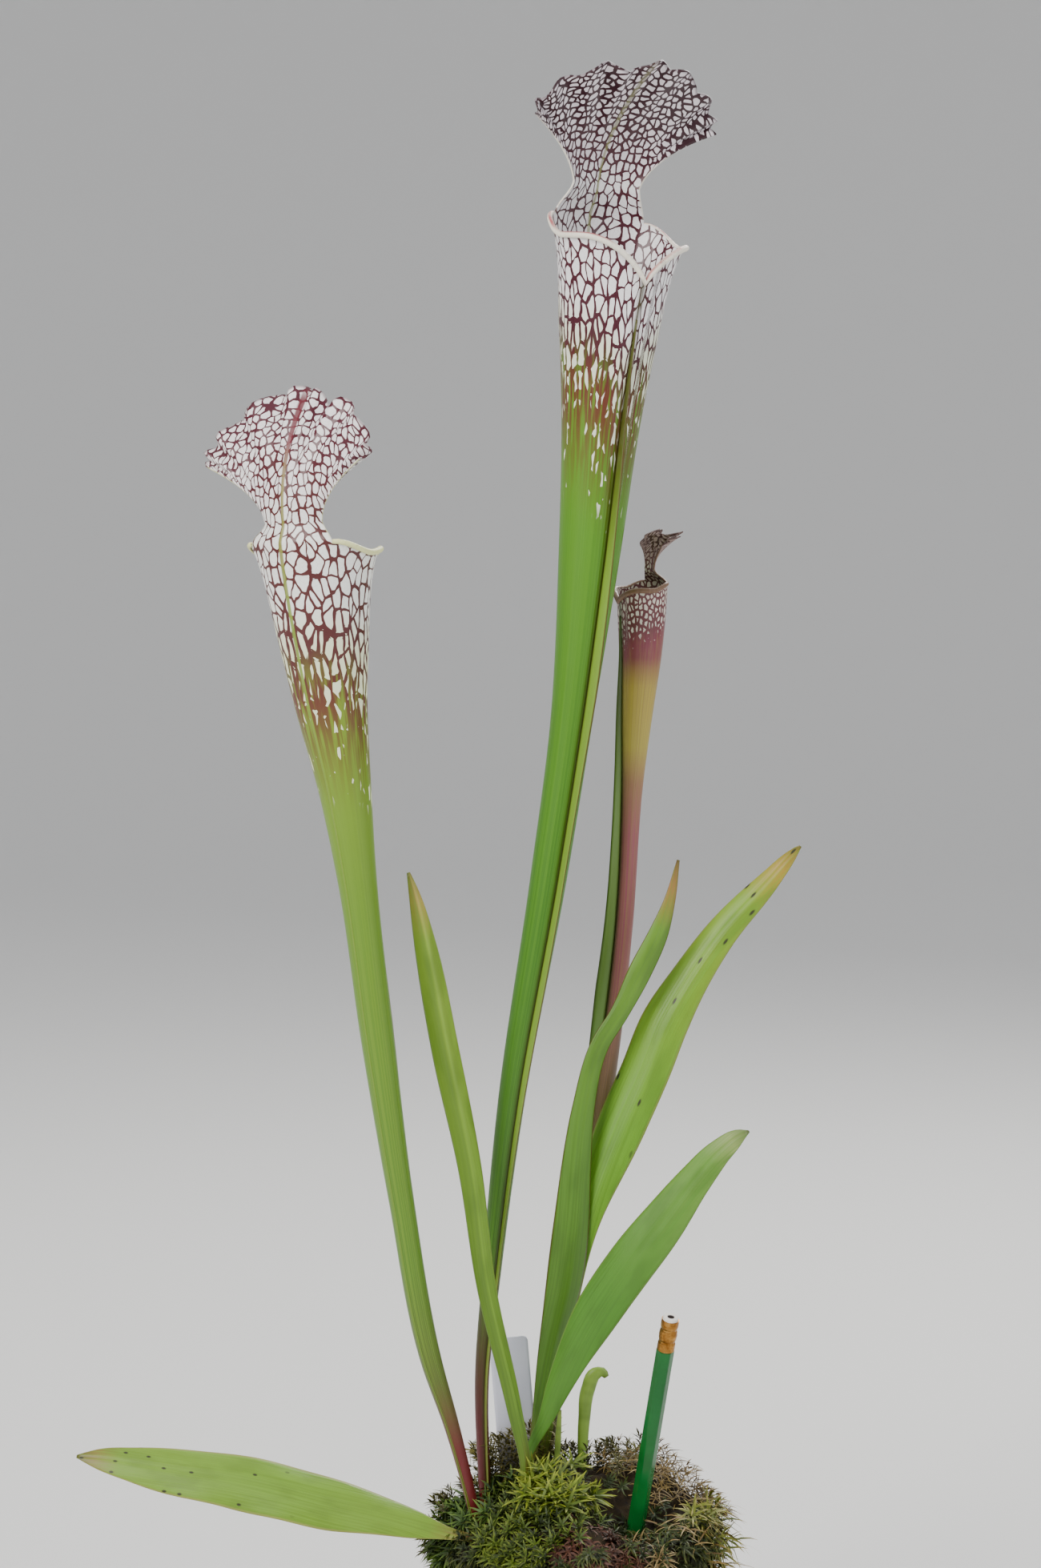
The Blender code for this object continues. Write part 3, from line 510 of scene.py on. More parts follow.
def worn_paint(name, specular, noise, stops, shine=None, bump=None, roughness=0.3):
    """A finish whose colour, shine and relief all follow one noise (scale, detail, roughness)."""
    paint = Paint(name, roughness, specular)
    wear = paint.noise(paint.place_in(), *noise)
    paint.colour(paint.ramp(wear, stops))
    if shine:
        paint.roughness(paint.span(wear, *shine))
    if bump:
        paint.bump(wear, *bump)
    return paint


def soft_paint(name, dark, light, scale, roughness=0.8, bump=0.6):
    """A mottled matte finish for earth, bark and graphite."""
    return worn_paint(name, 0.3, (scale, 6.0, 0.6), [(0.3, dark), (0.7, light)], None, (bump, 0.001),
                      roughness).material


# --- flat leaves -------------------------------------------------------------------------------
def make_leaf(name, stations, facing, cup, look, wave=0.0, fold=0.0):
    """A blade with its face towards `facing`. `fold` sharpens the hollow into a crease."""
    rows, across = 130, 16
    curve = smooth_through(stations, rows)
    facing = unit(np.array(facing, dtype=float))
    s = np.linspace(-1.0, 1.0, across + 1)
    grid, half_widths = [], []
    for r, ((x, y, z, half), along) in enumerate(zip(curve, directions(curve))):
        t = r / (rows - 1)
        side = unit(np.cross(along, facing))
        face = np.cross(side, along)
        half = max(half, 0.15)
        hollow = (1 - fold) * (s * s - 0.5) + fold * (np.sqrt(s * s + 0.01) - 0.5)
        ripple = wave * np.sin(t * 31.0 + 1.7 * np.sign(s)) * s * s * math.sin(math.pi * t)
        rib = 0.25 * np.exp(-(s * half / 0.7) ** 2)
        lift = -cup * half * hollow + ripple - rib
        grid.append(np.array((x, y, z)) + np.outer(s * half, side) + np.outer(lift, face))
        half_widths.append(half)
    sheet = Sheet("along", "across", "half")
    t = np.linspace(0.0, 1.0, rows)[:, None]
    sheet.add_grid(grid, {"along": t, "across": s[None, :], "half": np.array(half_widths)[:, None]})
    blade = sheet.build(name)
    thicken(blade, LEAF_THICKNESS, 0.0)
    place(blade, leaf_paint(name, look), "leaf_blade", name)


# --- pitchers ----------------------------------------------------------------------------------
def hood_point(shape, u, rise):
    """Where hood column u (-1 to 1) lies at `rise`: (side, height, forward) from the neck."""
    frill = shape["frill"]
    swing = u * HOOD_SWING
    start = np.array((shape["neck_half"] * math.sin(u * 0.9) / math.sin(0.9), 0.0,
                      shape["neck_half"] * 0.45 * u * u))
    crown = math.copysign(abs(math.cos(swing)) ** shape["crown"], math.cos(swing))
    lobe = shape["hood_lobe"]
    end = np.array((
        shape["hood_half"] * math.sin(swing),
        lobe + (shape["hood_apex"] - lobe) * crown,
        shape["reach_lobe"] + (shape["reach_apex"] - shape["reach_lobe"]) * crown))
    phase = math.pi * shape["lobes"] * (u + 0.05 * math.sin(7.0 * u + 0.6))
    scallop = abs(math.sin(phase + 0.5)) ** 0.5 - 0.75
    notch = math.exp(-((u - shape["notch"]) / 0.07) ** 2)
    tuck = math.exp(-((abs(u) - 1.0) / 0.06) ** 2)
    end = end * (1.0 + frill * (0.03 * scallop - 0.05 * notch - 0.035 * tuck))
    bend = start + np.array((shape["fan"] * (end[0] - start[0]), 0.5 * end[1], 0.05 * end[2]))
    point = start * (1 - rise) ** 2 + bend * 2 * rise * (1 - rise) + end * rise**2
    swell = frill * rise**3 * (math.sin(2.0 * phase + 1.0) + 0.5 * math.sin(5.3 * u + 2.0))
    point[2] += swell
    point[1] -= 0.3 * swell
    return point


def lip_height(shape, angle):
    front = math.sin(min(angle / math.radians(60), 1.0) * math.pi / 2) ** 0.8
    return shape["lip_rise"] * front + shape["lip_back"] * step_up(1.4, 2.2, angle)


def lip_flare(shape, angle):
    return shape["flare"] * (0.25 + 0.75 * step_up(0.1, 1.0, angle)) * (1 - step_up(1.9, 2.6, angle))


def cell_length(depth, look):
    """How long a window is along the leaf: short on the hood, long down the tube."""
    steps = np.array([-130.0, -90.0, -50.0, 0.0, 30.0, 60.0, 100.0, 140.0, 700.0])
    length = np.array([1.7, 1.5, 1.1, 1.7, 2.4, 3.4, 4.6, 5.0, 5.0])
    return np.interp(depth, steps, length) * look["cell"]


def cell_count(depth, look):
    """Windows counted along the leaf, down to each depth."""
    fine = np.linspace(-130.0, 700.0, 1700)
    total = np.concatenate([[0.0], np.cumsum(np.diff(fine) / cell_length(fine[1:], look))])
    return np.interp(depth, fine, total)


def stretch(depth, breadth, look):
    """How much longer than broad a window is."""
    return cell_length(depth, look) / (look["cell"] * breadth)


KEEL = 0.6  # height of the midrib on the back
HOOD_SWING = math.radians(97)  # from the hood's middle to its corner
LIP_CURL = math.radians(285)
CURL_STEPS = 12
LIP_CREST = 1.22  # the "lip" value along the top of the rolled lip
TUBE_SPREAD = 1.35  # windows on the tube are this much wider than the plain cell
PITCHER_VALUES = ("flow_x", "flow_y", "depth", "height", "rise", "lip", "rib", "wing", "seam_shade",
                  "stretch")


def spread_from_rib(row, arc):
    """Distance along a row from the midrib, which is at column arc / 2, negative on one side."""
    steps = np.linalg.norm(np.diff(row, axis=0), axis=1)
    along = np.concatenate([[0.0], np.cumsum(steps)])
    along = along - along[arc // 2]
    if len(row) > arc + 1:
        closing = np.linalg.norm(row[0] - row[-1])
        half_way = (along[-1] + closing + along[0]) / 2 - along[0] / 2
        along = np.where(along > half_way + 1e-6, along - (along[-1] + closing - along[0]), along)
    return along


def make_pitcher(name, shape, look, slot):
    """Tube, rolled lip, column, hood and wing as one leaf."""
    arc, rest = 60, 52
    tube_rows, mouth_rows, neck_rows, hood_rows = 150, 22, 12, 34
    curve = smooth_through(shape["stations"], tube_rows)
    tangents = directions(curve)
    facing = np.array((*shape["facing"], 0.0))
    angles = [COLUMN_HALF_ANGLE * (2.0 * i / arc - 1.0) for i in range(arc + 1)]
    step = (2.0 * math.pi - 2.0 * COLUMN_HALF_ANGLE) / rest
    angles += [COLUMN_HALF_ANGLE + step * i for i in range(1, rest)]
    angles = np.array(angles)
    signed = np.where(angles > math.pi, angles - 2 * math.pi, angles)
    from_front = math.pi - np.abs(signed)
    corner = math.pi - COLUMN_HALF_ANGLE
    keel = np.exp(-(signed / 0.045) ** 2)
    rings = []
    for (x, y, z, radius), along in zip(curve, tangents):
        front = unit(facing - along * np.dot(facing, along))
        side = np.cross(along, front)
        reach = radius + KEEL * keel
        rings.append(np.array((x, y, z)) + np.outer(reach * np.sin(angles), side)
                     - np.outer(reach * np.cos(angles), front))
    top, axis, radius = curve[-1, :3], tangents[-1], curve[-1, 3]
    front = unit(facing - axis * np.dot(facing, axis))
    side = np.cross(axis, front)
    spokes = np.outer(np.sin(angles), side) - np.outer(np.cos(angles), front)
    lips = np.array([lip_height(shape, min(a, corner)) for a in from_front])
    flares = np.array([lip_flare(shape, a) for a in from_front])
    for r in range(1, mouth_rows + 1):
        q = r / mouth_rows
        height = q * (shape["lip_drop"] + lips)
        reach = radius + (shape["mouth_radius"] - radius) * math.sin(q * math.pi / 2)
        reach = reach + flares * q**3 + KEEL * keel
        rings.append(top + np.outer(height, axis) + spokes * reach[:, None])
    rings = np.array(rings)
    hood = [rings[-1, :arc + 1]]
    base = shape["lip_drop"] + lip_height(shape, corner)
    neck = top + axis * shape["neck_height"] - front * shape["neck_back"]
    climb = shape["neck_height"] - base
    us = np.linspace(-1.0, 1.0, arc + 1)
    for r in range(1, neck_rows + hood_rows + 1):
        t = r / neck_rows
        rise = max(0.0, (r - neck_rows) / hood_rows)
        local = np.array([hood_point(shape, u, rise) for u in us])
        row = neck + local @ np.array((side, axis, front))
        row = row - np.outer(KEEL * keel[:arc + 1], front)
        if r < neck_rows:
            low = rings[-1, :arc + 1] + axis * climb * t
            high = row - axis * climb * (1 - t)
            blend = step_up(0.0, 1.0, t)
            row = low * (1 - blend) + high * blend
        hood.append(row)
    hood = np.array(hood)
    # depth below the lip, in millimetres, negative up on the hood
    steps = np.linalg.norm(np.diff(rings, axis=0), axis=2)
    climbed = np.concatenate([np.zeros((1, len(angles))), np.cumsum(steps, axis=0)])
    depth = climbed[-1] - climbed
    level = climbed[-1].max() - climbed
    above = np.concatenate([np.zeros((1, arc + 1)),
                            np.cumsum(np.linalg.norm(np.diff(hood, axis=0), axis=2), axis=0)])
    wide = spread_from_rib(rings[-1], arc) / look["cell"] / TUBE_SPREAD
    ring_level = level - level[-1].min()
    hood_level = ring_level[-1, :arc + 1] - above
    rises = np.clip((np.arange(len(hood)) - neck_rows) / hood_rows, 0.0, 1.0)[:, None]
    heights = np.linspace(0.0, 0.9, len(rings))[:, None]
    sheet = Sheet(*PITCHER_VALUES)
    rib = np.exp(-(signed * 21.0 / 1.1) ** 2)
    reach = np.concatenate([curve[:, 3], np.full(mouth_rows, radius)])[:, None]
    # where the painted shade goes: a narrow band down the front of the tube, in the crease beside the wing
    seam_shade = np.exp(-((np.pi - np.abs(signed))[None, :] * reach / 1.25) ** 2)
    narrowing = np.clip(reach / radius, 0.3, 1.0)
    sheet.add_grid(rings, {"flow_x": wide[None, :], "flow_y": -cell_count(ring_level, look), "depth": depth,
                           "height": heights, "rib": rib[None, :], "seam_shade": seam_shade,
                           "stretch": stretch(ring_level, TUBE_SPREAD * narrowing, look)},
                   wrap=True, flip=True)
    row_share = np.arange(len(hood)) / neck_rows
    scales = np.interp(row_share, (0.0, 1.0, 2.0, 4.0), (TUBE_SPREAD, 0.95, 1.05, 1.35))[:, None]
    hood_wide = np.array([spread_from_rib(row, arc) for row in hood]) / look["cell"]
    edge = 0.4 * step_up(0.965, 1.0, np.abs(us))[None, :] * step_up(0.0, 4.0, np.arange(len(hood)))[:, None]
    sheet.add_grid(hood, {"flow_x": hood_wide / scales, "flow_y": -cell_count(hood_level, look),
                          "height": 0.9 + 0.1 * rises, "rise": rises,
                          "rib": rib[None, :arc + 1] ** (1 + 2.0 * rises), "lip": edge,
                          "stretch": stretch(hood_level, scales, look)}, flip=True)
    foot = sheet.add_point(curve[0, :3] - tangents[0] * 0.5)
    sheet.faces += [(foot, i, (i + 1) % len(angles)) for i in range(len(angles))]
    # rolled lip, from one column corner round the front to the other
    order = list(range(arc, len(angles))) + [0]
    share = np.sin(np.linspace(0.0, math.pi, len(order))) ** 0.35
    bead = shape["roll"] * (0.25 + 0.75 * share)
    curl = []
    centre = rings[-1][order] + spokes[order] * bead[:, None]
    for turn in np.linspace(0.0, LIP_CURL, CURL_STEPS + 1):
        curl.append(centre - spokes[order] * (bead * math.cos(turn))[:, None]
                    + np.outer(bead * math.sin(turn), axis))
    turns = np.arange(CURL_STEPS + 1)
    ramp = np.where(turns < 2, turns / 2.0, 1.0 + (turns - 2) / 10.0)[:, None]
    sheet.add_grid(curl, {"flow_x": wide[None, order], "flow_y": -cell_count(0.0, look), "height": 0.9,
                          "lip": ramp, "stretch": 1.0}, flip=True)
    body = sheet.build(name, weld=0.02)
    thicken(body, PITCHER_WALL, -1.0)
    join(body, make_wing(name, shape, curve, tangents, facing))
    place(body, pitcher_paint(name, look), slot, name)


def make_wing(name, shape, curve, tangents, facing):
    """The wing down the front of the tube: a thin closed fin with its root in the wall."""
    at, width = np.array(shape["wing"]).T
    shares = np.array([0.0, 0.25, 0.5, 0.75, 1.0, 0.75, 0.5, 0.25])
    sides = np.array([0, 1, 1, 1, 0, -1, -1, -1])
    rows = []
    for r, ((x, y, z, radius), along) in enumerate(zip(curve, tangents)):
        front = unit(facing - along * np.dot(facing, along))
        side = np.cross(along, front)
        t = r / (len(curve) - 1)
        reach = float(np.interp(t, at, width))
        sway = 0.5 * math.sin(t * 19.0) * reach / 6.0
        out = radius - 0.4 + shares * (reach + 0.4)
        thick = 0.45 * (1.0 - 0.55 * shares) * sides + sway * shares**2
        rows.append(np.array((x, y, z)) + np.outer(out, front) + np.outer(thick, side))
    sheet = Sheet(*PITCHER_VALUES)
    heights = np.linspace(0.0, 0.78, len(rows))[:, None]
    sheet.add_grid(rows, {"flow_x": 9.0 + shares[None, :], "flow_y": heights * 40.0, "depth": 500.0,
                          "height": heights, "wing": 0.12 + 0.88 * shares[None, :], "stretch": 1.0},
                   wrap=True)
    sheet.close_ends(len(shares))
    return sheet.build(f"{name}_wing")


def join(target, other):
    """Bake both objects' modifiers and make them one mesh."""
    for item in (target, other):
        graph = bpy.context.evaluated_depsgraph_get()
        baked = bpy.data.meshes.new_from_object(item.evaluated_get(graph))
        item.modifiers.clear()
        item.data = baked
    with bpy.context.temp_override(active_object=target, object=target, selected_objects=[target, other],
                                   selected_editable_objects=[target, other]):
        bpy.ops.object.join()
    target.data.shade_smooth()


TALL_LOOK = {
    "cell": 3.0, "net": 0.065, "hood_net": 0.06, "net_end": 42.0, "dots_end": 100.0,
    "white": (0.85, 0.83, 0.84), "white_hood": (0.78, 0.71, 0.75), "white_low": (0.74, 0.76, 0.60),
    "vein": (0.030, 0.004, 0.010), "vein_low": (0.060, 0.005, 0.014), "vein_soft": (0.42, 0.24, 0.28),
    "blush": (0.12, 0.025, 0.012), "stripe": (0.10, 0.27, 0.012),
    "skin": [(0.0, (0.10, 0.006, 0.008)), (0.085, (0.10, 0.008, 0.008)), (0.14, (0.06, 0.05, 0.008)),
             (0.20, (0.035, 0.11, 0.005)), (0.4, (0.04, 0.15, 0.005)), (0.65, (0.075, 0.22, 0.008)),
             (0.9, (0.16, 0.26, 0.02))],
    "rib": [(0.0, (0.10, 0.22, 0.015)), (0.72, (0.10, 0.22, 0.015)), (0.9, (0.24, 0.25, 0.08)),
            (1.0, (0.13, 0.12, 0.04))],
    # the next line holds the colour of the painted shade in the crease beside the wing
    "rib_strength": 0.7, "seam_shade": (0.050, 0.045, 0.006), "lip": (0.84, 0.78, 0.66),
    "lip_blush": (0.42, 0.07, 0.08), "wing": (0.24, 0.36, 0.045), "wing_edge": (0.13, 0.06, 0.015),
    "wing_share": 0.6,
}
LEFT_LOOK = TALL_LOOK | {
    "cell": 3.3, "net": 0.06, "hood_net": 0.01, "net_end": 46.0, "dots_end": 98.0,
    "white": (0.88, 0.88, 0.84), "white_hood": (0.86, 0.82, 0.82), "white_low": (0.78, 0.82, 0.55),
    "vein": (0.075, 0.008, 0.018), "vein_low": (0.085, 0.014, 0.014),
    "skin": [(0.0, (0.12, 0.006, 0.009)), (0.095, (0.12, 0.009, 0.009)), (0.16, (0.07, 0.09, 0.01)),
             (0.26, (0.07, 0.17, 0.008)), (0.55, (0.11, 0.23, 0.01)), (0.75, (0.20, 0.31, 0.015)),
             (0.9, (0.32, 0.42, 0.03))],
    "stripe": (0.17, 0.30, 0.015),
    "rib": [(0.0, (0.12, 0.22, 0.015)), (0.8, (0.20, 0.30, 0.03)), (0.93, (0.24, 0.20, 0.05)),
            (0.96, (0.15, 0.010, 0.022)), (1.0, (0.13, 0.008, 0.018))],
    "rib_strength": 0.95, "lip": (0.74, 0.74, 0.36), "lip_blush": (0.80, 0.76, 0.46),
    # the colour of the painted shade in the crease beside the wing
    "seam_shade": (0.10, 0.14, 0.02),
}
OLD_LOOK = TALL_LOOK | {
    "cell": 1.5, "net": 0.17, "hood_net": 0.0, "net_end": 16.0, "dots_end": 30.0,
    "white": (0.50, 0.42, 0.36), "white_hood": (0.42, 0.30, 0.27), "white_low": (0.66, 0.60, 0.52),
    "vein": (0.075, 0.030, 0.022), "vein_low": (0.13, 0.035, 0.04), "vein_soft": (0.25, 0.14, 0.12),
    "blush": (0.20, 0.035, 0.06), "stripe": (0.26, 0.17, 0.06),
    "skin": [(0.0, (0.06, 0.05, 0.015)), (0.25, (0.10, 0.11, 0.03)), (0.4, (0.15, 0.08, 0.05)),
             (0.5, (0.24, 0.06, 0.08)), (0.6, (0.27, 0.06, 0.09)), (0.645, (0.28, 0.14, 0.07)),
             (0.675, (0.40, 0.33, 0.05)), (0.725, (0.40, 0.30, 0.05)), (0.75, (0.22, 0.06, 0.06)),
             (0.8, (0.22, 0.07, 0.07))],
    "rib": [(0.0, (0.20, 0.11, 0.06)), (1.0, (0.20, 0.11, 0.06))], "rib_strength": 0.3,
    # the next line holds the colour of the painted shade in the crease beside the wing
    "seam_shade": (0.05, 0.07, 0.015), "lip": (0.17, 0.09, 0.05), "lip_blush": (0.26, 0.16, 0.09),
    "wing": (0.09, 0.21, 0.02), "wing_edge": (0.10, 0.16, 0.02), "wing_share": 0.9,
}


def leaf_look(foot, low, middle, high, tip, margin, spots=0.0, fold_shade=0.0):
    """Colours from the foot to the tip. The tip itself is dry and dark."""
    return {
        "skin": [(0.0, foot), (0.10, foot), (0.2, low), (0.55, middle), (0.90, high), (0.96, tip),
                 (0.988, tuple(c * 0.6 for c in tip)), (1.0, (tip[0] * 0.3, tip[1] * 0.2, tip[2] * 0.3))],
        "line": tuple(c * 1.4 for c in middle), "patch": tuple(c * 0.7 for c in low),
        "margin": margin, "spots": spots, "fold_shade": fold_shade}


RED_FOOT = (0.12, 0.010, 0.010)


def make_leaves():
    make_leaf("leaf_ground", LEAF_GROUND, (0.0, -0.77, 0.64), 0.22, leaf_look(
        (0.24, 0.06, 0.035), (0.13, 0.23, 0.018), (0.13, 0.25, 0.018), (0.16, 0.28, 0.022),
        (0.20, 0.12, 0.03), (0.32, 0.31, 0.08), 1.0), wave=0.6)
    # leaf_thin is folded along its midrib, and one half of it gets painted shade
    make_leaf("leaf_thin", LEAF_THIN, (0.2, -1.0, 0.05), 0.9, leaf_look(
        RED_FOOT, (0.08, 0.17, 0.010), (0.15, 0.28, 0.018), (0.22, 0.34, 0.03), (0.42, 0.25, 0.07),
        (0.22, 0.30, 0.05), fold_shade=0.6), fold=0.8)
    make_leaf("leaf_mid", LEAF_MID, (0.25, -1.0, 0.0), 0.35, leaf_look(
        (0.13, 0.03, 0.018), (0.055, 0.13, 0.010), (0.07, 0.17, 0.013), (0.12, 0.25, 0.02),
        (0.32, 0.13, 0.04), (0.10, 0.05, 0.012)), wave=0.3)
    make_leaf("leaf_big", LEAF_BIG, (-0.3, -1.0, 0.2), 0.3, leaf_look(
        (0.13, 0.05, 0.018), (0.08, 0.20, 0.010), (0.105, 0.25, 0.012), (0.20, 0.31, 0.02),
        (0.40, 0.21, 0.03), (0.26, 0.30, 0.05), 1.0), wave=0.4)
    make_leaf("leaf_low_right", LEAF_LOW_RIGHT, (-0.2, -1.0, 0.3), 0.2, leaf_look(
        (0.22, 0.03, 0.025), (0.065, 0.17, 0.012), (0.055, 0.17, 0.012), (0.13, 0.27, 0.035),
        (0.26, 0.32, 0.10), (0.14, 0.24, 0.04)), wave=0.4)


def make_shoot(name, stations, dark, light):
    """A slim young stem, a little oval across."""
    curve = smooth_through(stations, 60)
    sides = 20
    angles = full_turn(sides)
    oval = 1.0 + 0.15 * np.cos(2 * angles)
    rows = [ring(spot[:3], along, spot[3] * oval, angles) for spot, along in zip(curve, directions(curve))]
    sheet = Sheet("along", "across", "half")
    t = np.linspace(0.0, 1.0, len(rows))[:, None]
    sheet.add_grid(rows, {"along": t, "across": np.sin(angles)[None, :] * 0.8,
                          "half": curve[:, 3][:, None]}, wrap=True)
    sheet.close_ends(sides)
    stem = sheet.build(name)
    place(stem, leaf_paint(name, leaf_look(dark, dark, light, light, light, light)), "young_shoot", name)


# --- moss --------------------------------------------------------------------------------------
MOSS_ROWS = 60
MOSS_SIDES = 150
MOSS_DEPTH = 1.2  # how far the peat lies below the construction's cushion
SHOULDER_SHARE = 0.25  # of the way from the pot's mouth to the top of the cushion
GOLDEN_TURN = 2.39996


def moss_height(x, y):
    height = MOSS_CROWN - 14.0 * (math.hypot(x, y) / MOSS_SHOULDER) ** 2
    for hump_x, hump_y, extra, spread in MOSS_HUMPS:
        near = math.hypot(x - hump_x, y - hump_y) / spread
        height += extra * math.exp(-near * near)
    return height


def moss_point(angle, t):
    """A point on the cushion: t is 0 in the pot's mouth, 0.25 at the shoulder, 1 on top."""
    lobes = 1.0 + 0.025 * math.sin(3 * angle + 1.0) + 0.02 * math.sin(7 * angle)
    shoulder = POT_HEIGHT + 15.0
    if t < SHOULDER_SHARE:
        q = t / SHOULDER_SHARE
        inside = POT_BAND_RADIUS - POT_WALL - 0.3
        radius = inside + (MOSS_SHOULDER * lobes - inside) * math.sin(q * math.pi / 2)
        return np.array((radius * math.cos(angle), radius * math.sin(angle),
                         POT_HEIGHT + 0.5 + (shoulder - POT_HEIGHT - 0.5) * q))
    q = (t - SHOULDER_SHARE) / (1.0 - SHOULDER_SHARE)
    radius = MOSS_SHOULDER * lobes * math.cos(q * math.pi / 2) ** 0.7
    x, y = radius * math.cos(angle), radius * math.sin(angle)
    return np.array((x, y, shoulder + (moss_height(x, y) - shoulder) * math.sin(q * math.pi / 2) ** 0.8))


def moss_frame(angle, t):
    """A point on the cushion and the way out from it."""
    here = moss_point(angle, t)
    around = moss_point(angle + 0.03, t) - here
    up = moss_point(angle, min(t + 0.01, 0.999)) - here
    out = np.cross(around, up)
    return here, unit(out if np.linalg.norm(out) > 1e-9 else np.array((0.0, 0.0, 1.0)))


def add_blade(sheet, root, way, length, width, droop, side, tint):
    """A narrow pointed moss leaf that bends down as it goes out."""
    down = np.array((0.0, 0.0, -1.0))
    # on the texture, all blades of one tint lie in one narrow upright strip
    strip = tint * 0.99
    pairs = []
    for share, fat in ((0.0, 0.55), (0.35, 1.0), (0.7, 0.6)):
        spot = root + way * length * share + down * droop * length * share * share
        pairs.append([(sheet.add_point(spot + side * width * fat / 2 * end, tint=tint, out=share),
                       (strip + shift, share)) for end, shift in ((-1, 0.0), (1, 0.01))])
    tip = sheet.add_point(root + way * length + down * droop * length, tint=tint, out=1.0)
    pairs.append([(tip, (strip, 1.0))])
    for low, high in zip(pairs, pairs[1:]):
        ring = low + high[::-1]
        sheet.add_face(tuple(point for point, _ in ring), tuple(place for _, place in ring))


def add_sprig(sheet, root, out, height, leaves, length, width, spread, droop):
    """A short stem ringed with pointed leaves, opening into a star at the top."""
    tint = RNG.uniform()
    lean = unit(out + RNG.normal(0.0, 0.22, 3))
    helper = unit(np.cross(lean, np.array((0.3, 0.5, 0.8))))
    other = np.cross(lean, helper)
    turn = RNG.uniform(0.0, 6.28)
    for k in range(leaves):
        share = (k + 1.0) / leaves
        turn += GOLDEN_TURN
        sway = helper * math.cos(turn) + other * math.sin(turn)
        open_up = spread * (1.15 - 0.55 * share)
        way = unit(lean * (1.0 - open_up) + sway * open_up)
        side = unit(np.cross(way, lean) + 1e-6)
        size = length * (0.75 + 0.35 * share) * RNG.uniform(0.8, 1.15)
        add_blade(sheet, root + lean * height * share, way, size, width, droop, side, tint)


def moss_paint(name, dark, mid, tip):
    paint = Paint(name, 0.55, 0.35)
    tint, out = paint.value("tint"), paint.value("out")
    body = paint.mix(paint.span(tint, 0.0, 1.0), dark, mid)
    body = paint.mix(paint.span(out, 0.35, 1.0, 0.0, 0.85), body, tip)
    grain = paint.noise(paint.place_in(), 900.0, 2.0)
    paint.colour(paint.mix(paint.span(grain, 0.4, 0.7, 0.0, 0.35), body, dark))
    return paint.material


def scatter(count, accept):
    """Random places on the cushion where accept(x, y, z) is true."""
    found = []
    while len(found) < count:
        angle = RNG.uniform(0.0, 2 * math.pi)
        t = 1.0 - RNG.uniform() ** 0.62
        here, out = moss_frame(angle, min(max(t, 0.02), 0.985))
        if accept(*here):
            found.append((here, out))
    return found


def near(x, y, cx, cy, reach):
    return math.hypot(x - cx, y - cy) < reach


def make_moss():
    """The lumpy peat cushion, the sprigs of each kind that cover it, and the dry strands."""
    sheet = Sheet("tint", "out")
    rows = []
    for t in np.linspace(0.0, 0.999, MOSS_ROWS):
        row = []
        for angle in full_turn(MOSS_SIDES):
            here, out = moss_frame(angle, min(t, 0.985))
            x, y = here[:2]
            lump = 1.2 * math.sin(0.9 * x + 1.0) * math.sin(0.8 * y) + 0.9 * math.sin(0.37 * x - 0.6 * y)
            row.append(here + out * (lump * min(1.0, t * 4.0) - MOSS_DEPTH))
        rows.append(row)
    sheet.add_grid(rows, {"tint": 0.3}, wrap=True)
    base_ring = rows[0]
    low = [p + np.array((0.0, 0.0, -5.0)) for p in base_ring]
    sheet.add_grid([low, base_ring], {"tint": 0.0}, wrap=True)
    cushion = sheet.build("moss_cushion", weld=0.01)
    peat = soft_paint("moss_cushion", (0.008, 0.005, 0.003), (0.040, 0.026, 0.009), 320.0, 0.95, 1.0)
    place(cushion, peat, "moss", "moss_mound")
    for name, count, where, shape, colours in MOSS_KINDS:
        sheet = Sheet("tint", "out")
        for here, out in scatter(count, where):
            add_sprig(sheet, here - out * 1.5, out, *shape)
        tuft = sheet.build(name)
        place(tuft, moss_paint(name, *colours), "moss", "moss_mound")
    make_strands()


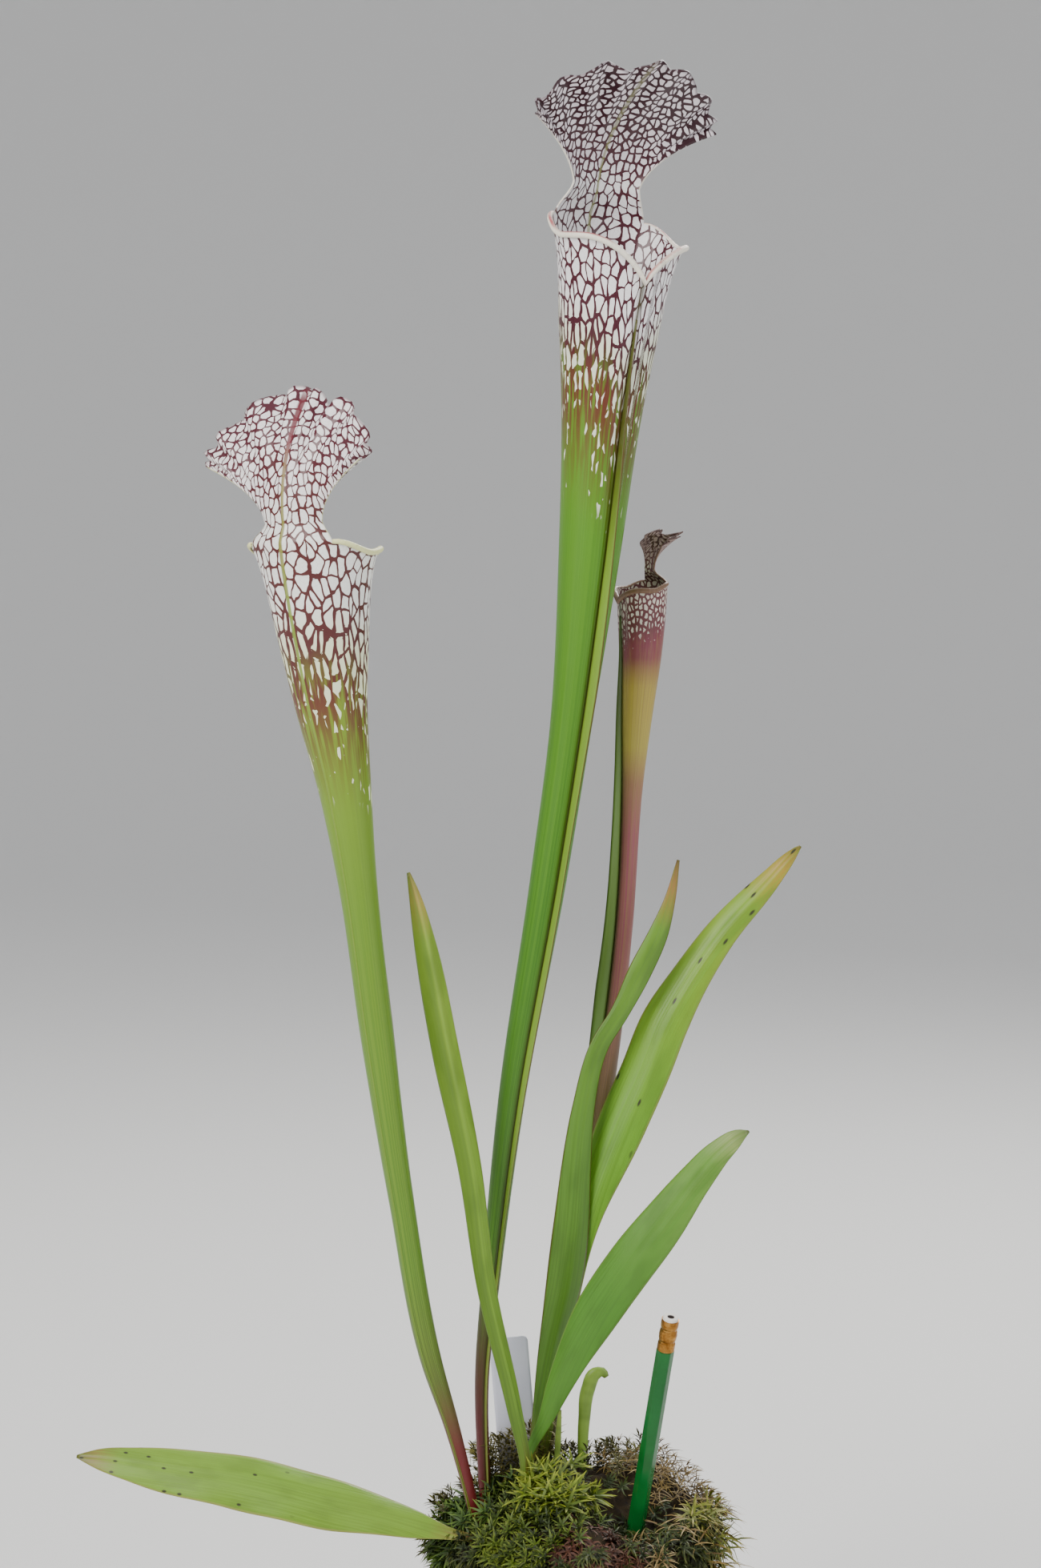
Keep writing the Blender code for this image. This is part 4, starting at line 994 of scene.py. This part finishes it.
# name, count, where, (height, leaves, length, width, spread, droop), (dark, mid, tip)
MOSS_KINDS = [
    ("moss_stars", 26, lambda x, y, z: near(x, y, -9, -19, 15),
     (7.5, 24, 9.5, 1.35, 0.85, 0.15),
     ((0.06, 0.095, 0.006), (0.15, 0.21, 0.010), (0.34, 0.37, 0.03))),
    ("moss_small_stars", 90, lambda x, y, z: near(x, y, -16, -28, 26) and z > 94,
     (4.5, 20, 5.2, 1.0, 0.8, 0.12),
     ((0.035, 0.06, 0.006), (0.085, 0.13, 0.008), (0.19, 0.23, 0.02))),
    ("moss_left", 60, lambda x, y, z: near(x, y, -44, -6, 20),
     (7.0, 22, 8.0, 1.15, 0.8, 0.25),
     ((0.018, 0.045, 0.004), (0.05, 0.105, 0.007), (0.12, 0.19, 0.015))),
    ("moss_green", 330, lambda x, y, z: not near(x, y, 34, 20, 22) and not near(x, y, 6, -46, 15),
     (5.0, 18, 4.4, 0.85, 0.75, 0.2),
     ((0.010, 0.018, 0.003), (0.030, 0.050, 0.006), (0.075, 0.10, 0.012))),
    ("moss_back", 130, lambda x, y, z: 4 < y < 43 and x < 30,
     (11.0, 28, 5.2, 0.85, 0.75, 0.3),
     ((0.040, 0.035, 0.007), (0.080, 0.075, 0.010), (0.16, 0.15, 0.03))),
    ("moss_tall", 60, lambda x, y, z: near(x, y, -22, 17, 15),
     (21.0, 34, 6.0, 0.85, 0.75, 0.3),
     ((0.07, 0.06, 0.010), (0.14, 0.12, 0.018), (0.24, 0.21, 0.045))),
    ("moss_gold", 120, lambda x, y, z: near(x, y, 33, 18, 24),
     (10.0, 22, 6.5, 0.6, 0.85, 0.35),
     ((0.075, 0.040, 0.008), (0.15, 0.095, 0.016), (0.28, 0.20, 0.05))),
    ("moss_right", 22, lambda x, y, z: near(x, y, 49, -6, 13),
     (10.0, 24, 10.5, 1.1, 0.9, 0.35),
     ((0.06, 0.08, 0.007), (0.15, 0.17, 0.012), (0.42, 0.32, 0.08))),
    ("moss_straw", 12, lambda x, y, z: near(x, y, 27, -42, 9),
     (4.0, 14, 8.5, 0.7, 0.9, 0.3),
     ((0.20, 0.13, 0.05), (0.32, 0.23, 0.10), (0.45, 0.36, 0.18))),
    ("moss_litter", 110, lambda x, y, z: near(x, y, 8, -44, 20),
     (2.5, 11, 5.0, 1.0, 0.95, 0.4),
     ((0.030, 0.010, 0.005), (0.085, 0.026, 0.012), (0.15, 0.06, 0.03))),
    ("moss_edge", 190, lambda x, y, z: z < 106,
     (5.0, 18, 5.6, 0.9, 0.85, 0.55),
     ((0.012, 0.018, 0.003), (0.035, 0.052, 0.006), (0.12, 0.125, 0.02))),
]


def make_strands():
    """Long dry moss stems that sweep over the right-hand side of the cushion."""
    sheet = Sheet("tint", "out")
    for here, out in scatter(150, lambda x, y, z: near(x, y, 36, 16, 26) or near(x, y, 44, -18, 16)):
        way = unit(np.array((RNG.normal(0.3, 0.9), RNG.normal(-0.3, 0.6), 0.35)))
        side = unit(np.cross(way, out) + 1e-6)
        start = here + out * RNG.uniform(2.0, 8.0)
        add_blade(sheet, start, way, RNG.uniform(9.0, 19.0), 0.75, RNG.uniform(0.2, 0.6), side,
                  RNG.uniform())
    strands = sheet.build("moss_strands")
    place(strands, moss_paint("moss_strands", (0.13, 0.075, 0.02), (0.24, 0.16, 0.04),
                              (0.36, 0.28, 0.10)), "moss", "moss_mound")


# --- pot and filling ---------------------------------------------------------------------------
def turned(profile, steps):
    """A sheet swept round the upright axis from (radius, height) points."""
    sheet = Sheet()
    angles = full_turn(steps)
    rows = [[(r * math.cos(a), r * math.sin(a), z) for a in angles] for r, z in profile]
    sheet.add_grid(rows, {}, wrap=True)
    return sheet


def make_pot():
    band = POT_HEIGHT - POT_BAND_HEIGHT
    profile = [(0.01, 0.0), (POT_BASE_RADIUS - 1.6, 0.0)]
    for k in range(5):
        turn = math.pi / 2 * k / 4
        profile.append((POT_BASE_RADIUS - 1.4 + 1.6 * math.sin(turn), 1.6 - 1.6 * math.cos(turn)))
    profile += [(POT_NECK_RADIUS - 0.2, band - 1.4), (POT_NECK_RADIUS, band - 1.0),
                (POT_BAND_RADIUS - 0.4, band - 0.2), (POT_BAND_RADIUS, band + 0.5),
                (POT_BAND_RADIUS, POT_HEIGHT - 2.6), (POT_BAND_RADIUS + 0.2, POT_HEIGHT - 2.3)]
    for k in range(9):
        turn = math.pi * k / 8
        profile.append((POT_BAND_RADIUS - 0.1 + 0.95 * math.sin(turn),
                        POT_HEIGHT - 0.95 - 0.95 * math.cos(turn)))
    profile += [(POT_BAND_RADIUS - POT_WALL, POT_HEIGHT - 1.2), (POT_BAND_RADIUS - POT_WALL, band + 0.5),
                (POT_NECK_RADIUS - POT_WALL, band - 1.0), (POT_BASE_RADIUS - POT_WALL, POT_WALL),
                (0.01, POT_WALL)]
    pot = turned(profile, 160).build("pot_shell", weld=0.05)
    pot.data.set_sharp_from_angle(angle=math.radians(50))
    paint = worn_paint("pot_plastic", 0.45, (90.0, 5.0, 0.65), [
        (0.35, (0.010, 0.010, 0.011)), (0.8, (0.024, 0.023, 0.022))], (0.35, 0.7, 0.34, 0.58))
    paint.bump(paint.noise(paint.place_in(), 1800.0, 2.0), 0.15, 0.0003)
    place(pot, paint.material, "pot_plastic", "pot")


def finish_hidden_nodes():
    """The filling and the rootstock keep their construction solids, with their own finish."""
    finishes = {
        "potting_mix": soft_paint("potting_mix", (0.010, 0.006, 0.004), (0.06, 0.035, 0.02), 260.0),
        "rhizome": soft_paint("rhizome", (0.03, 0.014, 0.008), (0.16, 0.09, 0.045), 180.0),
        "pencil_lead": soft_paint("graphite", (0.02, 0.02, 0.021), (0.05, 0.05, 0.052), 500.0, 0.45, 0.1),
    }
    for node, material in finishes.items():
        for item in bpy.data.objects:
            if item.type == "MESH" and item.name.split(".")[0] == node:
                for slot in item.material_slots:
                    slot.material = material


# --- tag and pencil ----------------------------------------------------------------------------
def make_tag():
    """A thin plastic tag with round corners, a pointed foot and a slight bow."""
    foot, top = np.array(TAG_FOOT), np.array(TAG_TOP)
    along = unit(top - foot)
    side = unit(np.cross(np.array((0.0, 1.0, 0.0)), along))
    face = np.cross(along, side)
    length = float(np.linalg.norm(top - foot))
    half = TAG_WIDTH / 2
    rows = []
    for h in np.concatenate([np.linspace(0.0, length - 2.0, 60), length - 2.0 + 2.0 * np.sin(
            np.linspace(0.2, math.pi / 2, 7))]):
        reach = half * min(1.0, 0.12 + h / 9.0)
        if h > length - 2.0:
            reach = half - 2.0 + 2.0 * math.sqrt(max(0.0, 1.0 - ((h - length + 2.0) / 2.0) ** 2))
        bow = 0.6 * math.sin(math.pi * h / length)
        rows.append([foot + along * h + side * reach * s + face * (bow + 0.25 * s * s)
                     for s in np.linspace(-1, 1, 13)])
    sheet = Sheet()
    sheet.add_grid(rows, {})
    tag = sheet.build("plant_tag_blank")
    thicken(tag, TAG_THICKNESS * 0.8, 0.0)
    paint = Paint("tag_plastic", 0.42, 0.4)
    stain = paint.noise(paint.place_in(), 60.0, 4.0)
    level = paint.split("ShaderNodeSeparateXYZ", paint.place_in())[2]
    soil = paint.times(paint.span(level, 0.118, 0.142, 1.0, 0.0), paint.span(stain, 0.3, 0.6))
    clean = paint.ramp(stain, [(0.3, (0.66, 0.67, 0.80)), (0.7, (0.76, 0.77, 0.87))])
    paint.colour(paint.mix(soil, clean, (0.18, 0.14, 0.10)))
    paint.bump(stain, 0.1, 0.0003)
    place(tag, paint.material, "tag_plastic", "plant_tag")


COLLAR_ROWS = 56
CORNER_CUT = 1.115  # the hexagon's corners are rounded off at this times its flats' radius
ERASER_SIDES = 48
ERASER_RIM, ERASER_HOLE = 5, 3  # sections of pale rubber, then of the dark pit in its end


def rod(name, sections, sides, soften=None):
    """A rod down the pencil's axis: sections are (distance from the top, radius).

    soften(angles, row) scales the radius round each section.
    """
    top, foot = np.array(PENCIL_TOP), np.array(PENCIL_FOOT)
    along = unit(foot - top)
    angles = full_turn(sides)
    rows = []
    for k, (distance, radius) in enumerate(sections):
        reach = radius * (soften(angles, k) if soften else np.ones(sides))
        rows.append(ring(top + along * distance, along, reach, angles))
    sheet = Sheet("along")
    at = np.array([d for d, _ in sections])[:, None]
    sheet.add_grid(rows, {"along": at}, wrap=True)
    sheet.close_ends(sides)
    item = sheet.build(name)
    with_bmesh(item.data, lambda work: bmesh.ops.recalc_face_normals(work, faces=work.faces))
    item.data.set_sharp_from_angle(angle=math.radians(35))
    return item


def make_pencil():
    length = float(np.linalg.norm(np.array(PENCIL_TOP) - np.array(PENCIL_FOOT)))
    start = ERASER_PROUD + FERRULE_LENGTH + 0.3

    def hexagon(angles, _row):
        folded = np.mod(angles, math.pi / 3) - math.pi / 6
        return np.minimum(1.0 / np.cos(folded), CORNER_CUT)

    barrel = rod("pencil_body", [
        (start - 5.0, PENCIL_FLAT - 0.5), (start - 0.2, PENCIL_FLAT - 0.5), (start, PENCIL_FLAT),
        (length - 18.0, PENCIL_FLAT), (length - 2.0, 1.9)], 72, hexagon)
    paint = worn_paint("pencil_paint", 0.25, (70.0, 4.0, 0.6), [
        (0.3, (0.003, 0.090, 0.014)), (0.7, (0.005, 0.125, 0.022))], (0.3, 0.8, 0.14, 0.26), (0.05, 0.0003))
    paint.shader.inputs["Coat Weight"].default_value = 0.1
    paint.shader.inputs["Coat Roughness"].default_value = 0.08
    place(barrel, paint.material, "pencil_paint", "pencil_barrel")

    def swell(at, centre, breadth):
        return math.exp(-((at - centre) / breadth) ** 2)

    sections = []
    for k in range(COLLAR_ROWS + 1):
        at = k / COLLAR_ROWS
        groove = 0.28 * (swell(at, 0.30, 0.05) + swell(at, 0.70, 0.05))
        bead = 0.12 * swell(at, 0.5, 0.06)
        sections.append((ERASER_PROUD + FERRULE_LENGTH * at, FERRULE_RADIUS - groove + bead - 0.1))

    def crimps(angles, row):
        at = row / COLLAR_ROWS
        dent = swell(at, 0.30, 0.06) + swell(at, 0.70, 0.06)
        return 1.0 - 0.03 * dent * (0.5 + 0.5 * np.cos(12 * angles))

    ferrule = rod("pencil_collar", sections, 96, crimps)
    paint = worn_paint("ferrule_brass", 0.5, (420.0, 4.0, 0.6), [
        (0.3, (0.20, 0.075, 0.012)), (0.55, (0.38, 0.18, 0.04)), (0.8, (0.52, 0.30, 0.09))],
        (0.3, 0.7, 0.36, 0.2))
    paint.shader.inputs["Metallic"].default_value = 1.0
    place(ferrule, paint.material, "ferrule_brass", "pencil_ferrule")

    rubber = FERRULE_RADIUS - 0.5
    eraser = rod("pencil_rubber", [
        (9.0, rubber), (0.5, rubber), (0.15, rubber - 0.15), (0.0, rubber - 0.45), (0.0, 1.6),
        (0.25, 1.35), (1.0, 1.1), (1.2, 0.8)], ERASER_SIDES)
    paint = Paint("eraser_rubber", 0.75, 0.3)
    along = paint.value("along")
    dirt = paint.noise(paint.place_in(), 500.0, 4.0)
    pale = paint.ramp(dirt, [(0.3, (0.62, 0.58, 0.52)), (0.7, (0.80, 0.77, 0.72))])
    hollow = paint.value("hollow")
    held = eraser.data.attributes.new("hollow", "FLOAT", "POINT")
    held.data.foreach_set("value", np.repeat((0.0, 1.0), (ERASER_SIDES * ERASER_RIM,
                                                          ERASER_SIDES * ERASER_HOLE)))
    paint.colour(paint.mix(hollow, pale, (0.03, 0.02, 0.018)))
    paint.roughness(paint.span(along, 0.0, 2.0, 0.7, 0.85))
    place(eraser, paint.material, "eraser_rubber", "pencil_eraser")


# --- studio ------------------------------------------------------------------------------------
MIDDLE = Vector((0.0, 0.0, 0.4))  # of the plant, in metres, where the lights point
SWEEP = 3500.0  # radius of the flat floor, and of the curve where it turns up into the wall


def soft_light(name, place_at, size, power, colour):
    lamp = bpy.data.lights.new(name, "AREA")
    lamp.shape = "RECTANGLE"
    lamp.size, lamp.size_y = size
    lamp.energy = power
    lamp.color = colour
    item = bpy.data.objects.new(name, lamp)
    item.location = place_at
    bpy.context.scene.collection.objects.link(item)
    item.rotation_euler = (MIDDLE - item.location).to_track_quat("-Z", "Y").to_euler()


def make_studio():
    """A round pale floor that curves up into a wall on every side, soft lights, and the camera."""
    outline = [(1.0, 0.0), (SWEEP, 0.0)]
    for turn in math.pi / 2 * np.arange(1, 13) / 12:
        outline.append((SWEEP + SWEEP * math.sin(turn), SWEEP - SWEEP * math.cos(turn)))
    outline.append((2 * SWEEP, 9000.0))
    floor = turned(outline, 96).build("studio_floor", weld=1.5)
    paint = Paint("studio_floor", 0.85, 0.2)
    paint.colour((0.74, 0.735, 0.72))
    floor.data.materials.append(paint.material)
    world = bpy.data.worlds.new("studio")
    world.use_nodes = True
    sky = world.node_tree.nodes["Background"]
    sky.inputs["Color"].default_value = (0.93, 0.95, 1.0, 1.0)
    sky.inputs["Strength"].default_value = 0.95
    bpy.context.scene.world = world
    soft_light("key", (-1.1, -1.3, 1.5), (0.9, 1.2), 46.0, (1.0, 0.98, 0.95))
    soft_light("fill", (1.4, -1.0, 0.9), (1.2, 1.2), 14.0, (0.95, 0.98, 1.0))
    soft_light("back", (0.6, 1.2, 1.5), (0.9, 0.9), 26.0, (1.0, 0.99, 0.96))
    camera = bpy.data.cameras.new("camera")
    camera.sensor_width = 36.0
    camera.lens = 89.1
    camera.clip_end = 50.0
    item = bpy.data.objects.new("camera", camera)
    item.location = (-0.0235, -1.6, 0.556)
    item.rotation_euler = (math.radians(85.0), 0.0, 0.0)
    bpy.context.scene.collection.objects.link(item)
    bpy.context.scene.camera = item


make_studio()
make_pitcher("pitcher_tall", TALL_PITCHER, TALL_LOOK, "pitcher_skin")
make_pitcher("pitcher_left", LEFT_PITCHER, LEFT_LOOK, "pitcher_skin")
make_pitcher("pitcher_old", OLD_PITCHER, OLD_LOOK, "withered_skin")
make_leaves()
make_shoot("shoot_hooked", SHOOT_HOOKED, (0.09, 0.17, 0.02), (0.19, 0.31, 0.04))
make_shoot("shoot_thin", SHOOT_THIN, (0.10, 0.18, 0.03), (0.22, 0.32, 0.05))
make_moss()
make_pot()
finish_hidden_nodes()
make_tag()
make_pencil()
